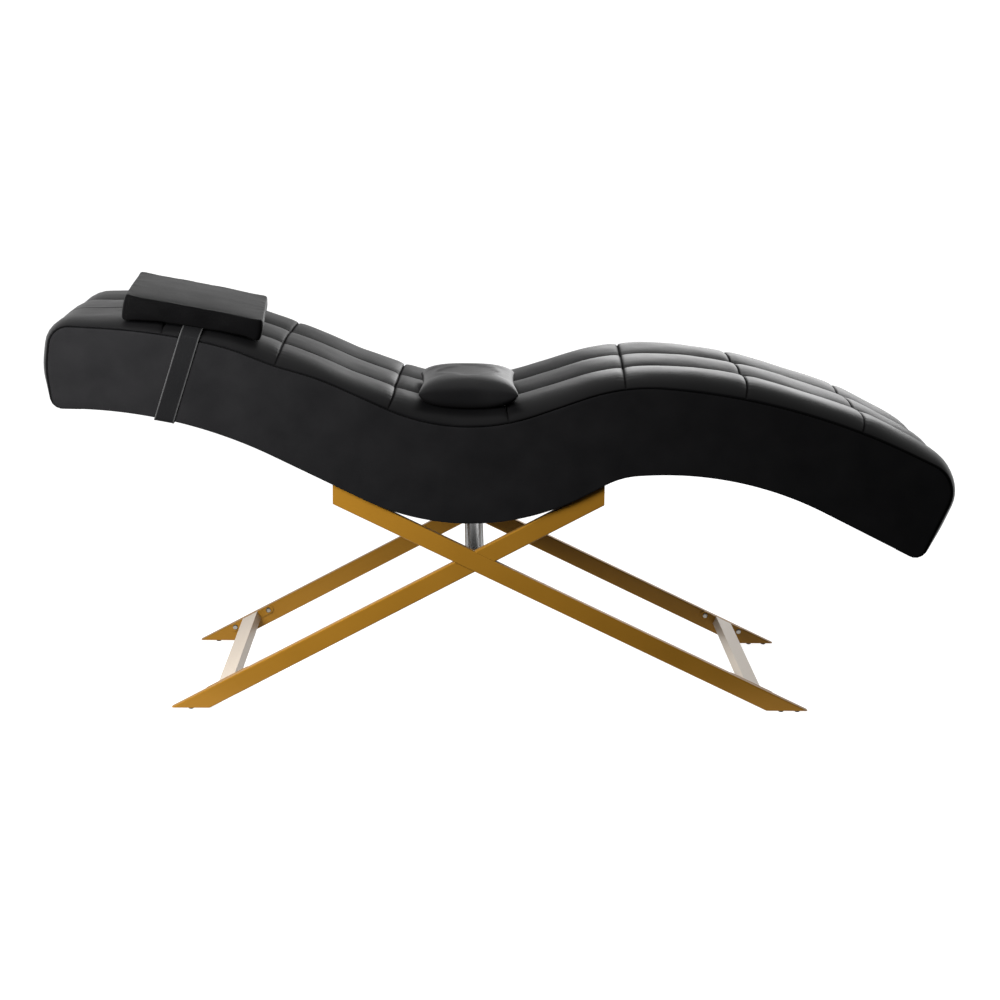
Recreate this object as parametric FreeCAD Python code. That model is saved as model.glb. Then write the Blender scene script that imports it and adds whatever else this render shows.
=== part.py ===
"""Wave-shaped lash chair: upholstered lounge on a welded X base, with a strapped head pillow
and a loose lumbar pillow. Millimetres, +Z up, +X from head to foot, floor at Z = 0."""
import FreeCAD, Part
import math
import os

Vector = FreeCAD.Vector

# X base: rectangular tube, seen from the side the two bars cross under the belly
CRADLE_X = -57.0            # where the top edges of the two bars meet
CRADLE_Z = 340.0
LONG_ANGLE = 25.7           # slope of the long bar, head arm down to the foot-end floor tip
SHORT_ANGLE = 28.2          # slope of the short bar, foot arm down to the head-end floor tip
HEAD_ARM = 322.0            # arm lengths along the top edge, from the cradle to the arm's end
FOOT_ARM = 300.0
BAR_HEIGHT = 38.0
BAR_WIDTH = 19.0
BAR_WALL = 1.5
BAR_ROUND = 2.5             # outer corner radius of the tube
CAP = 2.0                   # thickness of the plates that close the tube ends
BASE_INSET = 10.5           # outer faces of the two X frames, inside the body's sides
GLIDE_HEIGHT = 4.0
GLIDE_RADIUS = 5.5
GLIDE_CHAMFER = 1.0
FOOT_GLIDES = (21.0, 55.0)  # distances of the glides from the floor tip
HEAD_GLIDES = (40.0,)
CENTER_TUBE_RADIUS = 20.0
CENTER_TUBE_WALL = 2.0

# Floor crossbars and their bolted end plates
CROSSBAR_OFFSET = 129.0     # from the floor tip to the crossbar's middle, along the leg
CROSSBAR_WIDTH = 38.0
CROSSBAR_DEPTH = 18.0
CROSSBAR_WALL = 1.5
PLATE_LENGTH = 110.0
PLATE_HEIGHT = 18.0
PLATE = 3.0
SCREW_SPACING = 87.0
SCREW_RADIUS = 3.0
SCREW_LENGTH = 14.0
SCREW_HEAD_RADIUS = 5.5
SCREW_HEAD = 3.2
SCREW_HEAD_ROUND = 1.9
HOLE_CLEARANCE = 0.1

# Hidden rails that carry the body, and the bolts through them
RAIL_INSET = 8.0            # from the arm's end, along its top edge
RAIL_WIDTH = 38.0
RAIL_DEPTH = 19.0
BOLT_SPREAD = 150.0         # bolts stand this far from the centre plane
BOLT_RADIUS = 4.0
BOLT_HEAD_RADIUS = 8.0
BOLT_HEAD = 5.0
NUT_RADIUS = 6.0
NUT_FLANGE_RADIUS = 12.0
NUT_FLANGE = 1.5
NUT_BARREL = 10.0
BOLT_PAST_NUT = 4.0

# Side outline of the upholstered body: seam line of the top, ends square to it, underside
HALF_WIDTH = 285.0
HEAD_END_X = -910.0
HEAD_TOP_Z = 802.0
HEAD_BOTTOM_Z = 632.0
HEAD_TURN = (-566.0, 786.0, 1297.0)     # corner of the seam line, with its radius
SEAT_DIP = (-90.0, 572.0, 406.0)
KNEE_RISE = (244.0, 690.0, 403.0)
SHIN_TURN = (596.0, 663.0, 1440.0)
FOOT_TOP = (939.0, 502.0)
FOOT_BOTTOM = (860.0, 327.0)
SHIN_UNDER = (483.0, 515.0, 720.0)
HEAD_UNDER_FLAT = 39.0      # straight stretch of the underside, from the head end's bottom corner
HEAD_UNDER_RADIUS = 950.0
KNEE_UNDER = 338.0          # underside corner along the foot arm's line, from the cradle
KNEE_UNDER_RADIUS = 165.0
BELLY_RADIUS = 500.0
HEAD_TOP_CORNER = 42.0
FOOT_TOP_CORNER = 64.0
BOTTOM_CORNER = 25.0

# Layers of the body
SIDE_COVER = 10.0
SIDE_ROUND = 4.0
FOAM = 50.0
END_FOAM = 20.0
DECK = 9.0
END_BOARD = 15.0
BOTTOM_COVER = 2.0
RIB = 18.0
BATTEN_WIDTH = 45.0
BATTEN_HEIGHT = 30.0
BATTENS = 8
MOUNT_BATTEN_WIDTH = 70.0
MOUNT_BATTEN_HEIGHT = 40.0

# Quilt: three rows of eight panels; heights above the side seam
ROW_HALF = 95.0             # half the width of the middle row
FIRST_PANEL = 212.0         # seam-line length from the head corner to the first cross seam
PANEL_PITCH = 246.0
EDGE_REACH = 36.0           # the edge rolls over within this distance of the side
EDGE_BELLY = 5.0
CREST = 26.0
EDGE_CREST = 22.0
GROOVE = 15.0
PANEL_SHARES = (0.8, 1.0, 0.76, 1.3, 1.05, 1.18, 1.1, 0.95)   # heights at the middles of the panels
SEAM_SHARES = (0.7, 0.6, 0.84, 0.94, 0.73, 0.96, 0.87)        # heights at the cross seams
HEAD_START_SHARE = 0.64     # heights where the top meets the two rounded ends
FOOT_START_SHARE = 0.7
HEAD_CORNER_SHARE = 0.68    # heights at the middle of the two rounded ends
FOOT_CORNER_SHARE = 0.4
HEAD_END_SHARE = 0.68       # the cover lies tighter over the ends
FOOT_END_SHARE = 0.38
HEM_SHARE = 0.25
QUILT_ROOT = 8.0            # cut back on the seam line

# Head pillow and strap
PILLOW_STATION = 267.0      # seam-line length from the head corner to the pillow's middle
PILLOW_SIDE = -50.0         # the pillow lies towards the near side
PILLOW_TURN = 3.8
PILLOW_LENGTH = 278.0
PILLOW_WIDTH = 400.0
PILLOW_HEAD_HEIGHT = 37.0
PILLOW_NECK_HEIGHT = 33.0
PILLOW_CROWN = 5.0
PILLOW_END_BULGE = 5.0
PILLOW_DRAW = 2.0           # the side ends are this much smaller
PILLOW_GAP = 2.2
SKIN = 1.5                  # leatherette with its backing
STRAP_STATION = 277.0
STRAP_TILT = 17.5
STRAP_WIDTH = 40.0
STRAP = 1.2
STRAP_SIDE_GAP = 0.7
STRAP_TOP_GAP = 0.4
STRAP_UNDER_GAP = 3.4
STRAP_TOP_CORNER = 28.0
STRAP_UNDER_CORNER = 4.0

# Lumbar pillow
LUMBAR_STATION = 867.0
LUMBAR_SIDE = -105.0
LUMBAR_LENGTH = 202.0
LUMBAR_WIDTH = 300.0
LUMBAR_TOP = 46.0
LUMBAR_UNDER = 27.0
LUMBAR_EDGE_SHARE = 0.16    # thickness left at the two short edges
LUMBAR_DRAW = 7.0           # long sides pull in between the corners
LUMBAR_GAP = 0.5
LUMBAR_DROP = 60.0          # height over the seam line from which it is let down on the quilt
LUMBAR_STEPS = 4
LUMBAR_SECTIONS = (-1.0, -0.6, 0.0, 0.6, 1.0)    # shares of its half width


def unit(vector):
    return Vector(vector).normalize()


def at(x, z, y=0.0):
    return Vector(x, y, z)


def crossing(point_a, along_a, point_b, along_b):
    """Meeting point of two lines in the XZ plane."""
    across = along_a.x * along_b.z - along_a.z * along_b.x
    gap = point_b - point_a
    share = (gap.x * along_b.z - gap.z * along_b.x) / across
    return point_a + along_a * share


def corner_arc(before, corner, after):
    """Start, middle and end of the arc that rounds one corner (x, z, radius)."""
    point = at(corner[0], corner[1])
    back = unit(at(before[0], before[1]) - point)
    on = unit(at(after[0], after[1]) - point)
    half = back.getAngle(on) / 2
    inward = unit(back + on)
    reach = corner[2] / math.tan(half)
    centre = point + inward * (corner[2] / math.sin(half))
    return point + back * reach, centre - inward * corner[2], point + on * reach


def rounded_edges(corners, closed):
    """Lines and tangent arcs through a list of corners (x, z, radius)."""
    count = len(corners)
    edges = []
    ends = []
    for index, corner in enumerate(corners):
        inner = closed or 0 < index < count - 1
        if inner and corner[2] > 0:
            before = corners[index - 1]
            after = corners[(index + 1) % count]
            ends.append(corner_arc(before, corner, after))
        else:
            ends.append((at(corner[0], corner[1]),))
    runs = count if closed else count - 1
    for index in range(count):
        if len(ends[index]) == 3:
            edges.append(Part.Arc(*ends[index]).toShape())
        if index < runs:
            edges.append(Part.makeLine(ends[index][-1], ends[(index + 1) % count][0]))
    return edges


def slab(corners, low_y, high_y):
    """Closed outline drawn out across the chair."""
    face = Part.Face(Part.Wire(rounded_edges(corners, True)))
    face.translate(Vector(0, low_y, 0))
    return face.extrude(Vector(0, high_y - low_y, 0))


def prism(points, low_y, high_y):
    """Straight-sided outline drawn out across the chair."""
    return slab([(point.x, point.z, 0) for point in points], low_y, high_y)


def rod(start, along, radius, length):
    return Part.makeCylinder(radius, length, start, along)


def group(solids):
    return Part.makeCompound(solids)


def save(name, shape):
    shape.exportStep("parts/" + name + ".step")


# Lines of the X base
cradle = at(CRADLE_X, CRADLE_Z)
long_slope = math.radians(LONG_ANGLE)
short_slope = math.radians(SHORT_ANGLE)
long_down = at(math.cos(long_slope), -math.sin(long_slope))      # head arm to foot-end tip
short_down = at(-math.cos(short_slope), -math.sin(short_slope))  # foot arm to head-end tip
long_under = at(-math.sin(long_slope), -math.cos(long_slope))    # from top edge to under edge
short_under = at(math.sin(short_slope), -math.cos(short_slope))
head_arm_end = cradle - long_down * HEAD_ARM
foot_arm_end = cradle - short_down * FOOT_ARM
base_half_width = HALF_WIDTH - BASE_INSET
inner_face = base_half_width - BAR_WIDTH


def tip_of(along):
    """Floor tip: where a bar's top edge comes down to the glides' height."""
    return cradle + along * ((GLIDE_HEIGHT - CRADLE_Z) / along.z)


foot_tip = tip_of(long_down)
head_tip = tip_of(short_down)


def head_under_corner():
    """Underside corner on the head arm's line: its arc touches that line and ends at the head's flat stretch."""
    bottom = at(HEAD_END_X, HEAD_BOTTOM_Z)
    foot = crossing(cradle, long_down, bottom, long_under)
    height = (foot - bottom).Length
    touch = math.sqrt(HEAD_UNDER_FLAT ** 2 + 2 * HEAD_UNDER_RADIUS * height - height ** 2)
    whole = HEAD_UNDER_FLAT + touch
    return foot + long_down * ((whole - height ** 2 / whole) / 2)


# Body outline, clockwise from the head end's top corner
head_under = head_under_corner()
knee_under = cradle - short_down * KNEE_UNDER
TOP_LINE = [
    (HEAD_END_X, HEAD_TOP_Z, HEAD_TOP_CORNER),
    HEAD_TURN,
    SEAT_DIP,
    KNEE_RISE,
    SHIN_TURN,
    FOOT_TOP + (FOOT_TOP_CORNER,),
]
UNDER_LINE = [
    FOOT_BOTTOM + (BOTTOM_CORNER,),
    SHIN_UNDER,
    (knee_under.x, knee_under.z, KNEE_UNDER_RADIUS),
    (CRADLE_X, CRADLE_Z, BELLY_RADIUS),
    (head_under.x, head_under.z, HEAD_UNDER_RADIUS),
    (HEAD_END_X, HEAD_BOTTOM_Z, BOTTOM_CORNER),
]
OUTLINE = TOP_LINE + UNDER_LINE


def inset(top=0.0, end=0.0, under=0.0):
    """Body outline moved inwards by one distance on top, one at the ends and one underneath."""
    tops = len(TOP_LINE) - 1
    unders = len(UNDER_LINE) - 1
    shifts = [top] * tops + [end] + [under] * unders + [end]
    corners = []
    for index, corner in enumerate(OUTLINE):
        before = at(*OUTLINE[index - 1][:2])
        here = at(*corner[:2])
        after = at(*OUTLINE[(index + 1) % len(OUTLINE)][:2])
        along_in = unit(here - before)
        along_out = unit(after - here)
        in_shift = shifts[index - 1]
        out_shift = shifts[index]
        start = before + at(along_in.z, -along_in.x) * in_shift
        finish = here + at(along_out.z, -along_out.x) * out_shift
        moved = crossing(start, along_in, finish, along_out)
        hollow = along_in.x * along_out.z - along_in.z * along_out.x > 0
        change = min(in_shift, out_shift) if hollow else -max(in_shift, out_shift)
        corners.append((moved.x, moved.z, max(corner[2] + change, 0.0)))
    return corners


class Frame:
    """Point on the seam line with its directions along the chair and out of the upholstery."""

    def __init__(self, point, along):
        self.point = point
        self.along = along
        self.out = at(-along.z, along.x)

    def place(self, y, height, along=0.0):
        return self.point + self.out * height + self.along * along + Vector(0, y, 0)


class SeamLine:
    """Side seam from the head end's hem, over the top, to the foot end's hem."""

    def __init__(self):
        hem_head = (HEAD_END_X, HEAD_BOTTOM_Z + BOTTOM_CORNER, 0)
        foot_top = at(*FOOT_TOP)
        foot_bottom = at(*FOOT_BOTTOM)
        hem = foot_bottom + unit(foot_top - foot_bottom) * BOTTOM_CORNER
        self.edges = rounded_edges([hem_head] + TOP_LINE + [(hem.x, hem.z, 0)], False)
        self.ends = []
        length = 0.0
        for edge in self.edges:
            length += edge.Length
            self.ends.append(length)

    def frame(self, length):
        start = 0.0
        for edge, end in zip(self.edges, self.ends):
            if length <= end + 0.001:
                spot = edge.getParameterByLength(min(length - start, edge.Length))
                return Frame(edge.valueAt(spot), unit(edge.tangentAt(spot)))
            start = end
        raise ValueError("past the foot end's hem")


seam_line = SeamLine()
HEAD_CORNER = seam_line.ends[0]          # length where the head corner starts
HEAD_CORNER_END = seam_line.ends[1]
FOOT_CORNER = seam_line.ends[-3]
FOOT_CORNER_END = seam_line.ends[-2]
HEAD_ZERO = HEAD_CORNER_END - HEAD_TOP_CORNER     # seam-line length at which the top's stations start


def top_frame(station):
    return seam_line.frame(HEAD_ZERO + station)


def make_bar(corners, low_y):
    """Rounded rectangular tube as a solid, from its side outline."""
    solid = prism(corners, low_y, low_y + BAR_WIDTH)
    flat = [low_y, low_y + BAR_WIDTH]
    top = unit(corners[1] - corners[0])
    long_edges = []
    for edge in solid.Edges:
        along = unit(edge.Vertexes[1].Point - edge.Vertexes[0].Point)
        on_face = any(abs(edge.CenterOfMass.y - y) < 0.01 for y in flat)
        if on_face and abs(abs(along * top) - 1) < 0.0001:
            long_edges.append(edge)
    return solid.makeFillet(BAR_ROUND, long_edges)


def hollow_of(top_point, along, under, low_y):
    """Bore of a bar's tube, longer than the bar at both ends."""
    reach = HEAD_ARM + FOOT_ARM + 2 * CRADLE_Z / math.sin(min(long_slope, short_slope))
    near = top_point + under * BAR_WALL - along * reach
    far = top_point + under * (BAR_HEIGHT - BAR_WALL) - along * reach
    points = [near, near + along * 2 * reach, far + along * 2 * reach, far]
    return prism(points, low_y + BAR_WALL, low_y + BAR_WIDTH - BAR_WALL)


def upright_cut(x_low, x_high, low_y):
    return Part.makeBox(x_high - x_low, BAR_WIDTH, CRADLE_Z * 4, Vector(x_low, low_y, 0))


def foot_cut(low_y):
    length = foot_tip.x - head_tip.x
    corner = Vector(head_tip.x - length, low_y, GLIDE_HEIGHT)
    return Part.makeBox(3 * length, BAR_WIDTH, CAP, corner)


def foot_heel(tip, under, along):
    """Inner end of a foot's flat cut, on the bar's under edge."""
    return crossing(tip + under * BAR_HEIGHT, along, tip, Vector(1, 0, 0))


def arm_heel(arm_end, under, along):
    return crossing(arm_end + under * BAR_HEIGHT, along, arm_end, Vector(0, 0, 1))


def make_frame(low_y):
    """One X frame: tubes and the plates that close them."""
    long_solid = make_bar([
        head_arm_end,
        foot_tip,
        foot_heel(foot_tip, long_under, long_down),
        arm_heel(head_arm_end, long_under, long_down),
    ], low_y)
    long_top = cradle
    long_bottom = cradle + long_under * BAR_HEIGHT
    short_bottom = cradle + short_under * BAR_HEIGHT
    upper_solid = make_bar([
        foot_arm_end,
        cradle,
        crossing(short_bottom, short_down, long_top, long_down),
        arm_heel(foot_arm_end, short_under, short_down),
    ], low_y)
    lower_solid = make_bar([
        crossing(cradle, short_down, long_bottom, long_down),
        head_tip,
        foot_heel(head_tip, short_under, short_down),
        crossing(short_bottom, short_down, long_bottom, long_down),
    ], low_y)
    long_hollow = hollow_of(cradle, long_down, long_under, low_y)
    short_hollow = hollow_of(cradle, short_down, short_under, low_y)
    head_cap_space = upright_cut(head_arm_end.x, head_arm_end.x + CAP, low_y)
    foot_cap_space = upright_cut(foot_arm_end.x - CAP, foot_arm_end.x, low_y)
    floor_space = foot_cut(low_y)
    tubes = {
        "long_bar": long_solid.cut(head_cap_space).cut(floor_space).cut(long_hollow),
        "upper_arm": upper_solid.cut(foot_cap_space).cut(short_hollow),
        "lower_leg": lower_solid.cut(floor_space).cut(short_hollow),
    }
    arm_caps = [long_solid.common(head_cap_space), upper_solid.common(foot_cap_space)]
    foot_caps = [long_solid.common(floor_space), lower_solid.common(floor_space)]
    return tubes, arm_caps, foot_caps


def make_glides():
    glides = []
    for tip, inward, spots in ((foot_tip, -1, FOOT_GLIDES), (head_tip, 1, HEAD_GLIDES)):
        for spot in spots:
            for side in (-1, 1):
                place = Vector(tip.x + inward * spot, side * (base_half_width - BAR_WIDTH / 2), 0)
                glide = rod(place, Vector(0, 0, 1), GLIDE_RADIUS, GLIDE_HEIGHT)
                rim = [edge for edge in glide.Edges if edge.CenterOfMass.z < 0.01 and edge.Closed]
                glides.append(glide.makeChamfer(GLIDE_CHAMFER, rim))
    return group(glides)


def make_center_tube():
    drop = BAR_HEIGHT / 2
    middle = crossing(cradle + long_under * drop, long_down, cradle + short_under * drop, short_down)
    start = middle - Vector(0, inner_face, 0)
    outer = rod(start, Vector(0, 1, 0), CENTER_TUBE_RADIUS, 2 * inner_face)
    bore = rod(start, Vector(0, 1, 0), CENTER_TUBE_RADIUS - CENTER_TUBE_WALL, 2 * inner_face)
    return outer.cut(bore)


def cross_tube(corner, along, under, width, depth, half_length):
    """Rectangular tube across the chair, its wide face flush with a bar's top edge."""
    wall = CROSSBAR_WALL

    def box(gap):
        first = corner + along * gap + under * gap
        second = corner + along * (width - gap) + under * gap
        third = corner + along * (width - gap) + under * (depth - gap)
        fourth = corner + along * gap + under * (depth - gap)
        return prism([first, second, third, fourth], -half_length, half_length)

    return box(0.0).cut(box(wall))


def make_floor_crossbar(tip, up, under):
    """Crossbar near the floor with its two end plates; also the screw places on the near side."""
    middle = tip + up * CROSSBAR_OFFSET
    corner = middle - up * (CROSSBAR_WIDTH / 2)
    bar = cross_tube(corner, up, under, CROSSBAR_WIDTH, CROSSBAR_DEPTH, inner_face - PLATE)
    centre = middle + under * (PLATE_HEIGHT / 2)
    radius = PLATE_HEIGHT / 2
    straight = PLATE_LENGTH / 2 - radius
    low = centre - up * straight
    high = centre + up * straight
    edges = [
        Part.makeLine(low - under * radius, high - under * radius),
        Part.Arc(high - under * radius, high + up * radius, high + under * radius).toShape(),
        Part.makeLine(high + under * radius, low + under * radius),
        Part.Arc(low + under * radius, low - up * radius, low - under * radius).toShape(),
    ]
    face = Part.Face(Part.Wire(edges))
    places = [centre - up * (SCREW_SPACING / 2), centre + up * (SCREW_SPACING / 2)]
    plates = []
    for low_y in (-inner_face, inner_face - PLATE):
        plate = face.copy()
        plate.translate(Vector(0, low_y, 0))
        plate = plate.extrude(Vector(0, PLATE, 0))
        for place in places:
            start = place + Vector(0, low_y, 0)
            plate = plate.cut(rod(start, Vector(0, 1, 0), SCREW_RADIUS + HOLE_CLEARANCE, PLATE))
        plates.append(plate)
    return bar, group(plates), places


def make_screw(place, outward):
    """Pan-head screw: head on the plate's inner face, shank into the leg."""
    seat = Vector(place.x, outward * (inner_face - PLATE), place.z)
    into = Vector(0, outward, 0)
    shank = rod(seat, into, SCREW_RADIUS, SCREW_LENGTH)
    head = rod(seat - into * SCREW_HEAD, into, SCREW_HEAD_RADIUS, SCREW_HEAD)
    rim = [edge for edge in head.Edges if edge.Closed and abs(edge.CenterOfMass.y - seat.y) > 0.1]
    head = head.makeFillet(SCREW_HEAD_ROUND, rim)
    return head.fuse(shank).removeSplitter()


def make_rail(arm_end, inward, under):
    """Hidden rail between two arms, with its bolts' axes."""
    corner = arm_end + inward * RAIL_INSET
    rail = cross_tube(corner, inward, under, RAIL_WIDTH, RAIL_DEPTH, inner_face)
    seat = corner + inward * (RAIL_WIDTH / 2)
    bolts = [seat + Vector(0, side * BOLT_SPREAD, 0) for side in (-1, 1)]
    return rail, bolts


def drill(shape, bolts, under, radius):
    """Clearance holes for the body's bolts, through everything along their axes."""
    reach = MOUNT_BATTEN_HEIGHT + RAIL_DEPTH
    for bolt in bolts:
        shape = shape.cut(rod(bolt - under * reach, under, radius, 2 * reach))
    return shape


def make_bolt(bolt, under):
    grip = RAIL_DEPTH + BOTTOM_COVER + MOUNT_BATTEN_HEIGHT + NUT_FLANGE + BOLT_PAST_NUT
    head_seat = bolt + under * RAIL_DEPTH
    shank = rod(head_seat, under * -1, BOLT_RADIUS, grip)
    head = rod(head_seat, under, BOLT_HEAD_RADIUS, BOLT_HEAD)
    return shank.fuse(head).removeSplitter()


def make_tee_nut(bolt, under):
    top = bolt - under * (BOTTOM_COVER + MOUNT_BATTEN_HEIGHT)
    flange = rod(top, under * -1, NUT_FLANGE_RADIUS, NUT_FLANGE)
    barrel = rod(top, under, NUT_RADIUS, NUT_BARREL)
    bore = rod(top - under * NUT_FLANGE, under, BOLT_RADIUS + HOLE_CLEARANCE, NUT_BARREL + NUT_FLANGE)
    return flange.fuse(barrel).cut(bore).removeSplitter()


def make_mount_batten(bolts, inward, under, inside):
    """Thick batten over a rail, between the ribs, with its bolt and tee-nut holes."""
    middle = at(bolts[0].x, bolts[0].z) - under * BOTTOM_COVER
    half = MOUNT_BATTEN_WIDTH / 2
    low_a = middle - inward * half
    low_b = middle + inward * half
    rise = under * -MOUNT_BATTEN_HEIGHT
    batten = prism([low_a, low_b, low_b + rise, low_a + rise], -rib_inner, rib_inner).common(inside)
    batten = drill(batten, bolts, under, BOLT_RADIUS + HOLE_CLEARANCE)
    for bolt in bolts:
        top = bolt - under * (BOTTOM_COVER + MOUNT_BATTEN_HEIGHT)
        batten = batten.cut(rod(top, under, NUT_RADIUS, NUT_BARREL))
    return batten


def make_deck_battens(inside):
    """Cross battens under the deck, each cut to the deck's underside."""
    battens = []
    first = FIRST_PANEL / 2
    last = seam_line.ends[-3] - HEAD_ZERO - first
    for index in range(BATTENS):
        frame = top_frame(first + (last - first) * index / (BATTENS - 1))
        half = BATTEN_WIDTH / 2
        depth = FOAM + DECK + BATTEN_HEIGHT
        points = [
            frame.place(0, 0, -half),
            frame.place(0, 0, half),
            frame.place(0, -depth, half),
            frame.place(0, -depth, -half),
        ]
        battens.append(prism(points, -rib_inner, rib_inner).common(inside))
    return group(battens)


def quilt_section(frame, share):
    """Cross section of the quilt: rolled edge, row, middle row, row, rolled edge."""
    edge = EDGE_CREST * share
    crest = CREST * share
    groove = GROOVE * share
    roll = HALF_WIDTH - EDGE_REACH
    belly = HALF_WIDTH - EDGE_BELLY
    row_middle = (roll + ROW_HALF) / 2
    arcs = [
        ((-HALF_WIDTH, 0), (-belly, edge / 2), (-roll, edge)),
        ((-roll, edge), (-row_middle, crest), (-ROW_HALF, groove)),
        ((-ROW_HALF, groove), (0, crest), (ROW_HALF, groove)),
        ((ROW_HALF, groove), (row_middle, crest), (roll, edge)),
        ((roll, edge), (belly, edge / 2), (HALF_WIDTH, 0)),
    ]
    edges = [Part.Arc(*[frame.place(*spot) for spot in arc]).toShape() for arc in arcs]
    low_near = frame.place(-HALF_WIDTH, -QUILT_ROOT)
    low_far = frame.place(HALF_WIDTH, -QUILT_ROOT)
    edges.append(Part.makeLine(frame.place(HALF_WIDTH, 0), low_far))
    edges.append(Part.makeLine(low_far, low_near))
    edges.append(Part.makeLine(low_near, frame.place(-HALF_WIDTH, 0)))
    return Part.Wire(edges)


def quilt_stretches():
    """Stretches of the quilt as three lengths on the seam line, each with its share of the height."""
    last = seam_line.ends[-1]
    stretches = [
        ((0.0, HEM_SHARE), (HEAD_CORNER / 2, HEAD_END_SHARE), (HEAD_CORNER, HEAD_END_SHARE)),
        ((HEAD_CORNER, HEAD_END_SHARE),
         ((HEAD_CORNER + HEAD_CORNER_END) / 2, HEAD_CORNER_SHARE),
         (HEAD_CORNER_END, HEAD_START_SHARE)),
    ]
    seams = [(HEAD_ZERO + FIRST_PANEL + PANEL_PITCH * index, share) for index, share in enumerate(SEAM_SHARES)]
    starts = [(HEAD_CORNER_END, HEAD_START_SHARE)] + seams
    finishes = seams + [(FOOT_CORNER, FOOT_START_SHARE)]
    for start, finish, share in zip(starts, finishes, PANEL_SHARES):
        stretches.append((start, ((start[0] + finish[0]) / 2, share), finish))
    stretches.append((
        (FOOT_CORNER, FOOT_START_SHARE),
        ((FOOT_CORNER + FOOT_CORNER_END) / 2, FOOT_CORNER_SHARE),
        (FOOT_CORNER_END, FOOT_END_SHARE)))
    stretches.append((
        (FOOT_CORNER_END, FOOT_END_SHARE),
        ((FOOT_CORNER_END + last) / 2, FOOT_END_SHARE),
        (last, HEM_SHARE)))
    return stretches


def make_quilt(body):
    panels = []
    for stretch in quilt_stretches():
        sections = [quilt_section(seam_line.frame(length), share) for length, share in stretch]
        panels.append(Part.makeLoft(sections, True, False).cut(body))
    return panels[0].multiFuse(panels[1:])


def make_side_cover(side):
    """Flat padded side panel with a softened outer edge."""
    low_y = -HALF_WIDTH if side < 0 else HALF_WIDTH - SIDE_COVER
    panel = slab(OUTLINE, low_y, low_y + SIDE_COVER)
    rim = [edge for edge in panel.Edges if abs(edge.CenterOfMass.y - side * HALF_WIDTH) < 0.01]
    return panel.makeFillet(SIDE_ROUND, rim)


def make_head_pillow(skin):
    """Pillow on the quilt's crest, crowned, a little higher at the head end; skin insets every face."""
    frame = top_frame(PILLOW_STATION)
    floor = CREST + PILLOW_GAP + skin
    sections = []
    for share in (-1, 0, 1):
        draw = PILLOW_DRAW * abs(share)
        half = PILLOW_LENGTH / 2 - PILLOW_END_BULGE - draw - skin
        head_top = CREST + PILLOW_GAP + PILLOW_HEAD_HEIGHT - draw - skin
        neck_top = CREST + PILLOW_GAP + PILLOW_NECK_HEIGHT - draw - skin
        bulge = half + PILLOW_END_BULGE
        crown = (head_top + neck_top) / 2 + PILLOW_CROWN
        y = share * (PILLOW_WIDTH / 2 - skin)
        corners = [(-half, floor), (half, floor), (half, neck_top), (-half, head_top)]
        spots = [frame.place(y, height, along) for along, height in corners]
        neck = frame.place(y, (floor + neck_top) / 2, bulge)
        crest = frame.place(y, crown, 0)
        head = frame.place(y, (floor + head_top) / 2, -bulge)
        sections.append(Part.Wire([
            Part.makeLine(spots[0], spots[1]),
            Part.Arc(spots[1], neck, spots[2]).toShape(),
            Part.Arc(spots[2], crest, spots[3]).toShape(),
            Part.Arc(spots[3], head, spots[0]).toShape(),
        ]))
    pillow = Part.makeLoft(sections, True, False)
    pillow.rotate(frame.point, frame.out, PILLOW_TURN)
    pillow.translate(Vector(0, PILLOW_SIDE, 0))
    return pillow


def make_strap(body_face):
    """Band round the body, under the pillow: its faces run along the slide, its edges lean back."""
    frame = top_frame(PILLOW_STATION)
    spot = top_frame(STRAP_STATION).point
    centre = frame.point + frame.along * ((spot - frame.point) * frame.along)
    deep = HEAD_TOP_Z - HEAD_BOTTOM_Z + 2 * FOAM
    through = Part.makeLine(spot, spot - frame.out * deep).common(body_face)
    half = HALF_WIDTH + STRAP_SIDE_GAP
    top = CREST + STRAP_TOP_GAP
    low = -through.Length - STRAP_UNDER_GAP

    def loop(grow):
        upper = STRAP_TOP_CORNER + grow
        under = STRAP_UNDER_CORNER + grow
        wide = half + grow
        corners = [
            (-wide, low - grow, under),
            (-wide, top + grow, upper),
            (wide, top + grow, upper),
            (wide, low - grow, under),
        ]
        face = Part.Face(Part.Wire(rounded_edges(corners, True)))
        return face.extrude(Vector(0, 2 * deep, 0))

    band = loop(STRAP).cut(loop(0.0))
    turn = FreeCAD.Rotation(Vector(0, -1, 0), frame.along, frame.out, "XZY")
    band.Placement = FreeCAD.Placement(centre - frame.along * deep, turn)
    lean = math.radians(STRAP_TILT)
    leaning = Frame(spot, at(math.cos(lean), -math.sin(lean)))
    side = STRAP_WIDTH / 2
    strip = [leaning.place(0, height, along) for along, height in (
        (-side, -2 * deep), (side, -2 * deep), (side, 2 * deep), (-side, 2 * deep))]
    return band.common(prism(strip, -2 * half, 2 * half))


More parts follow.
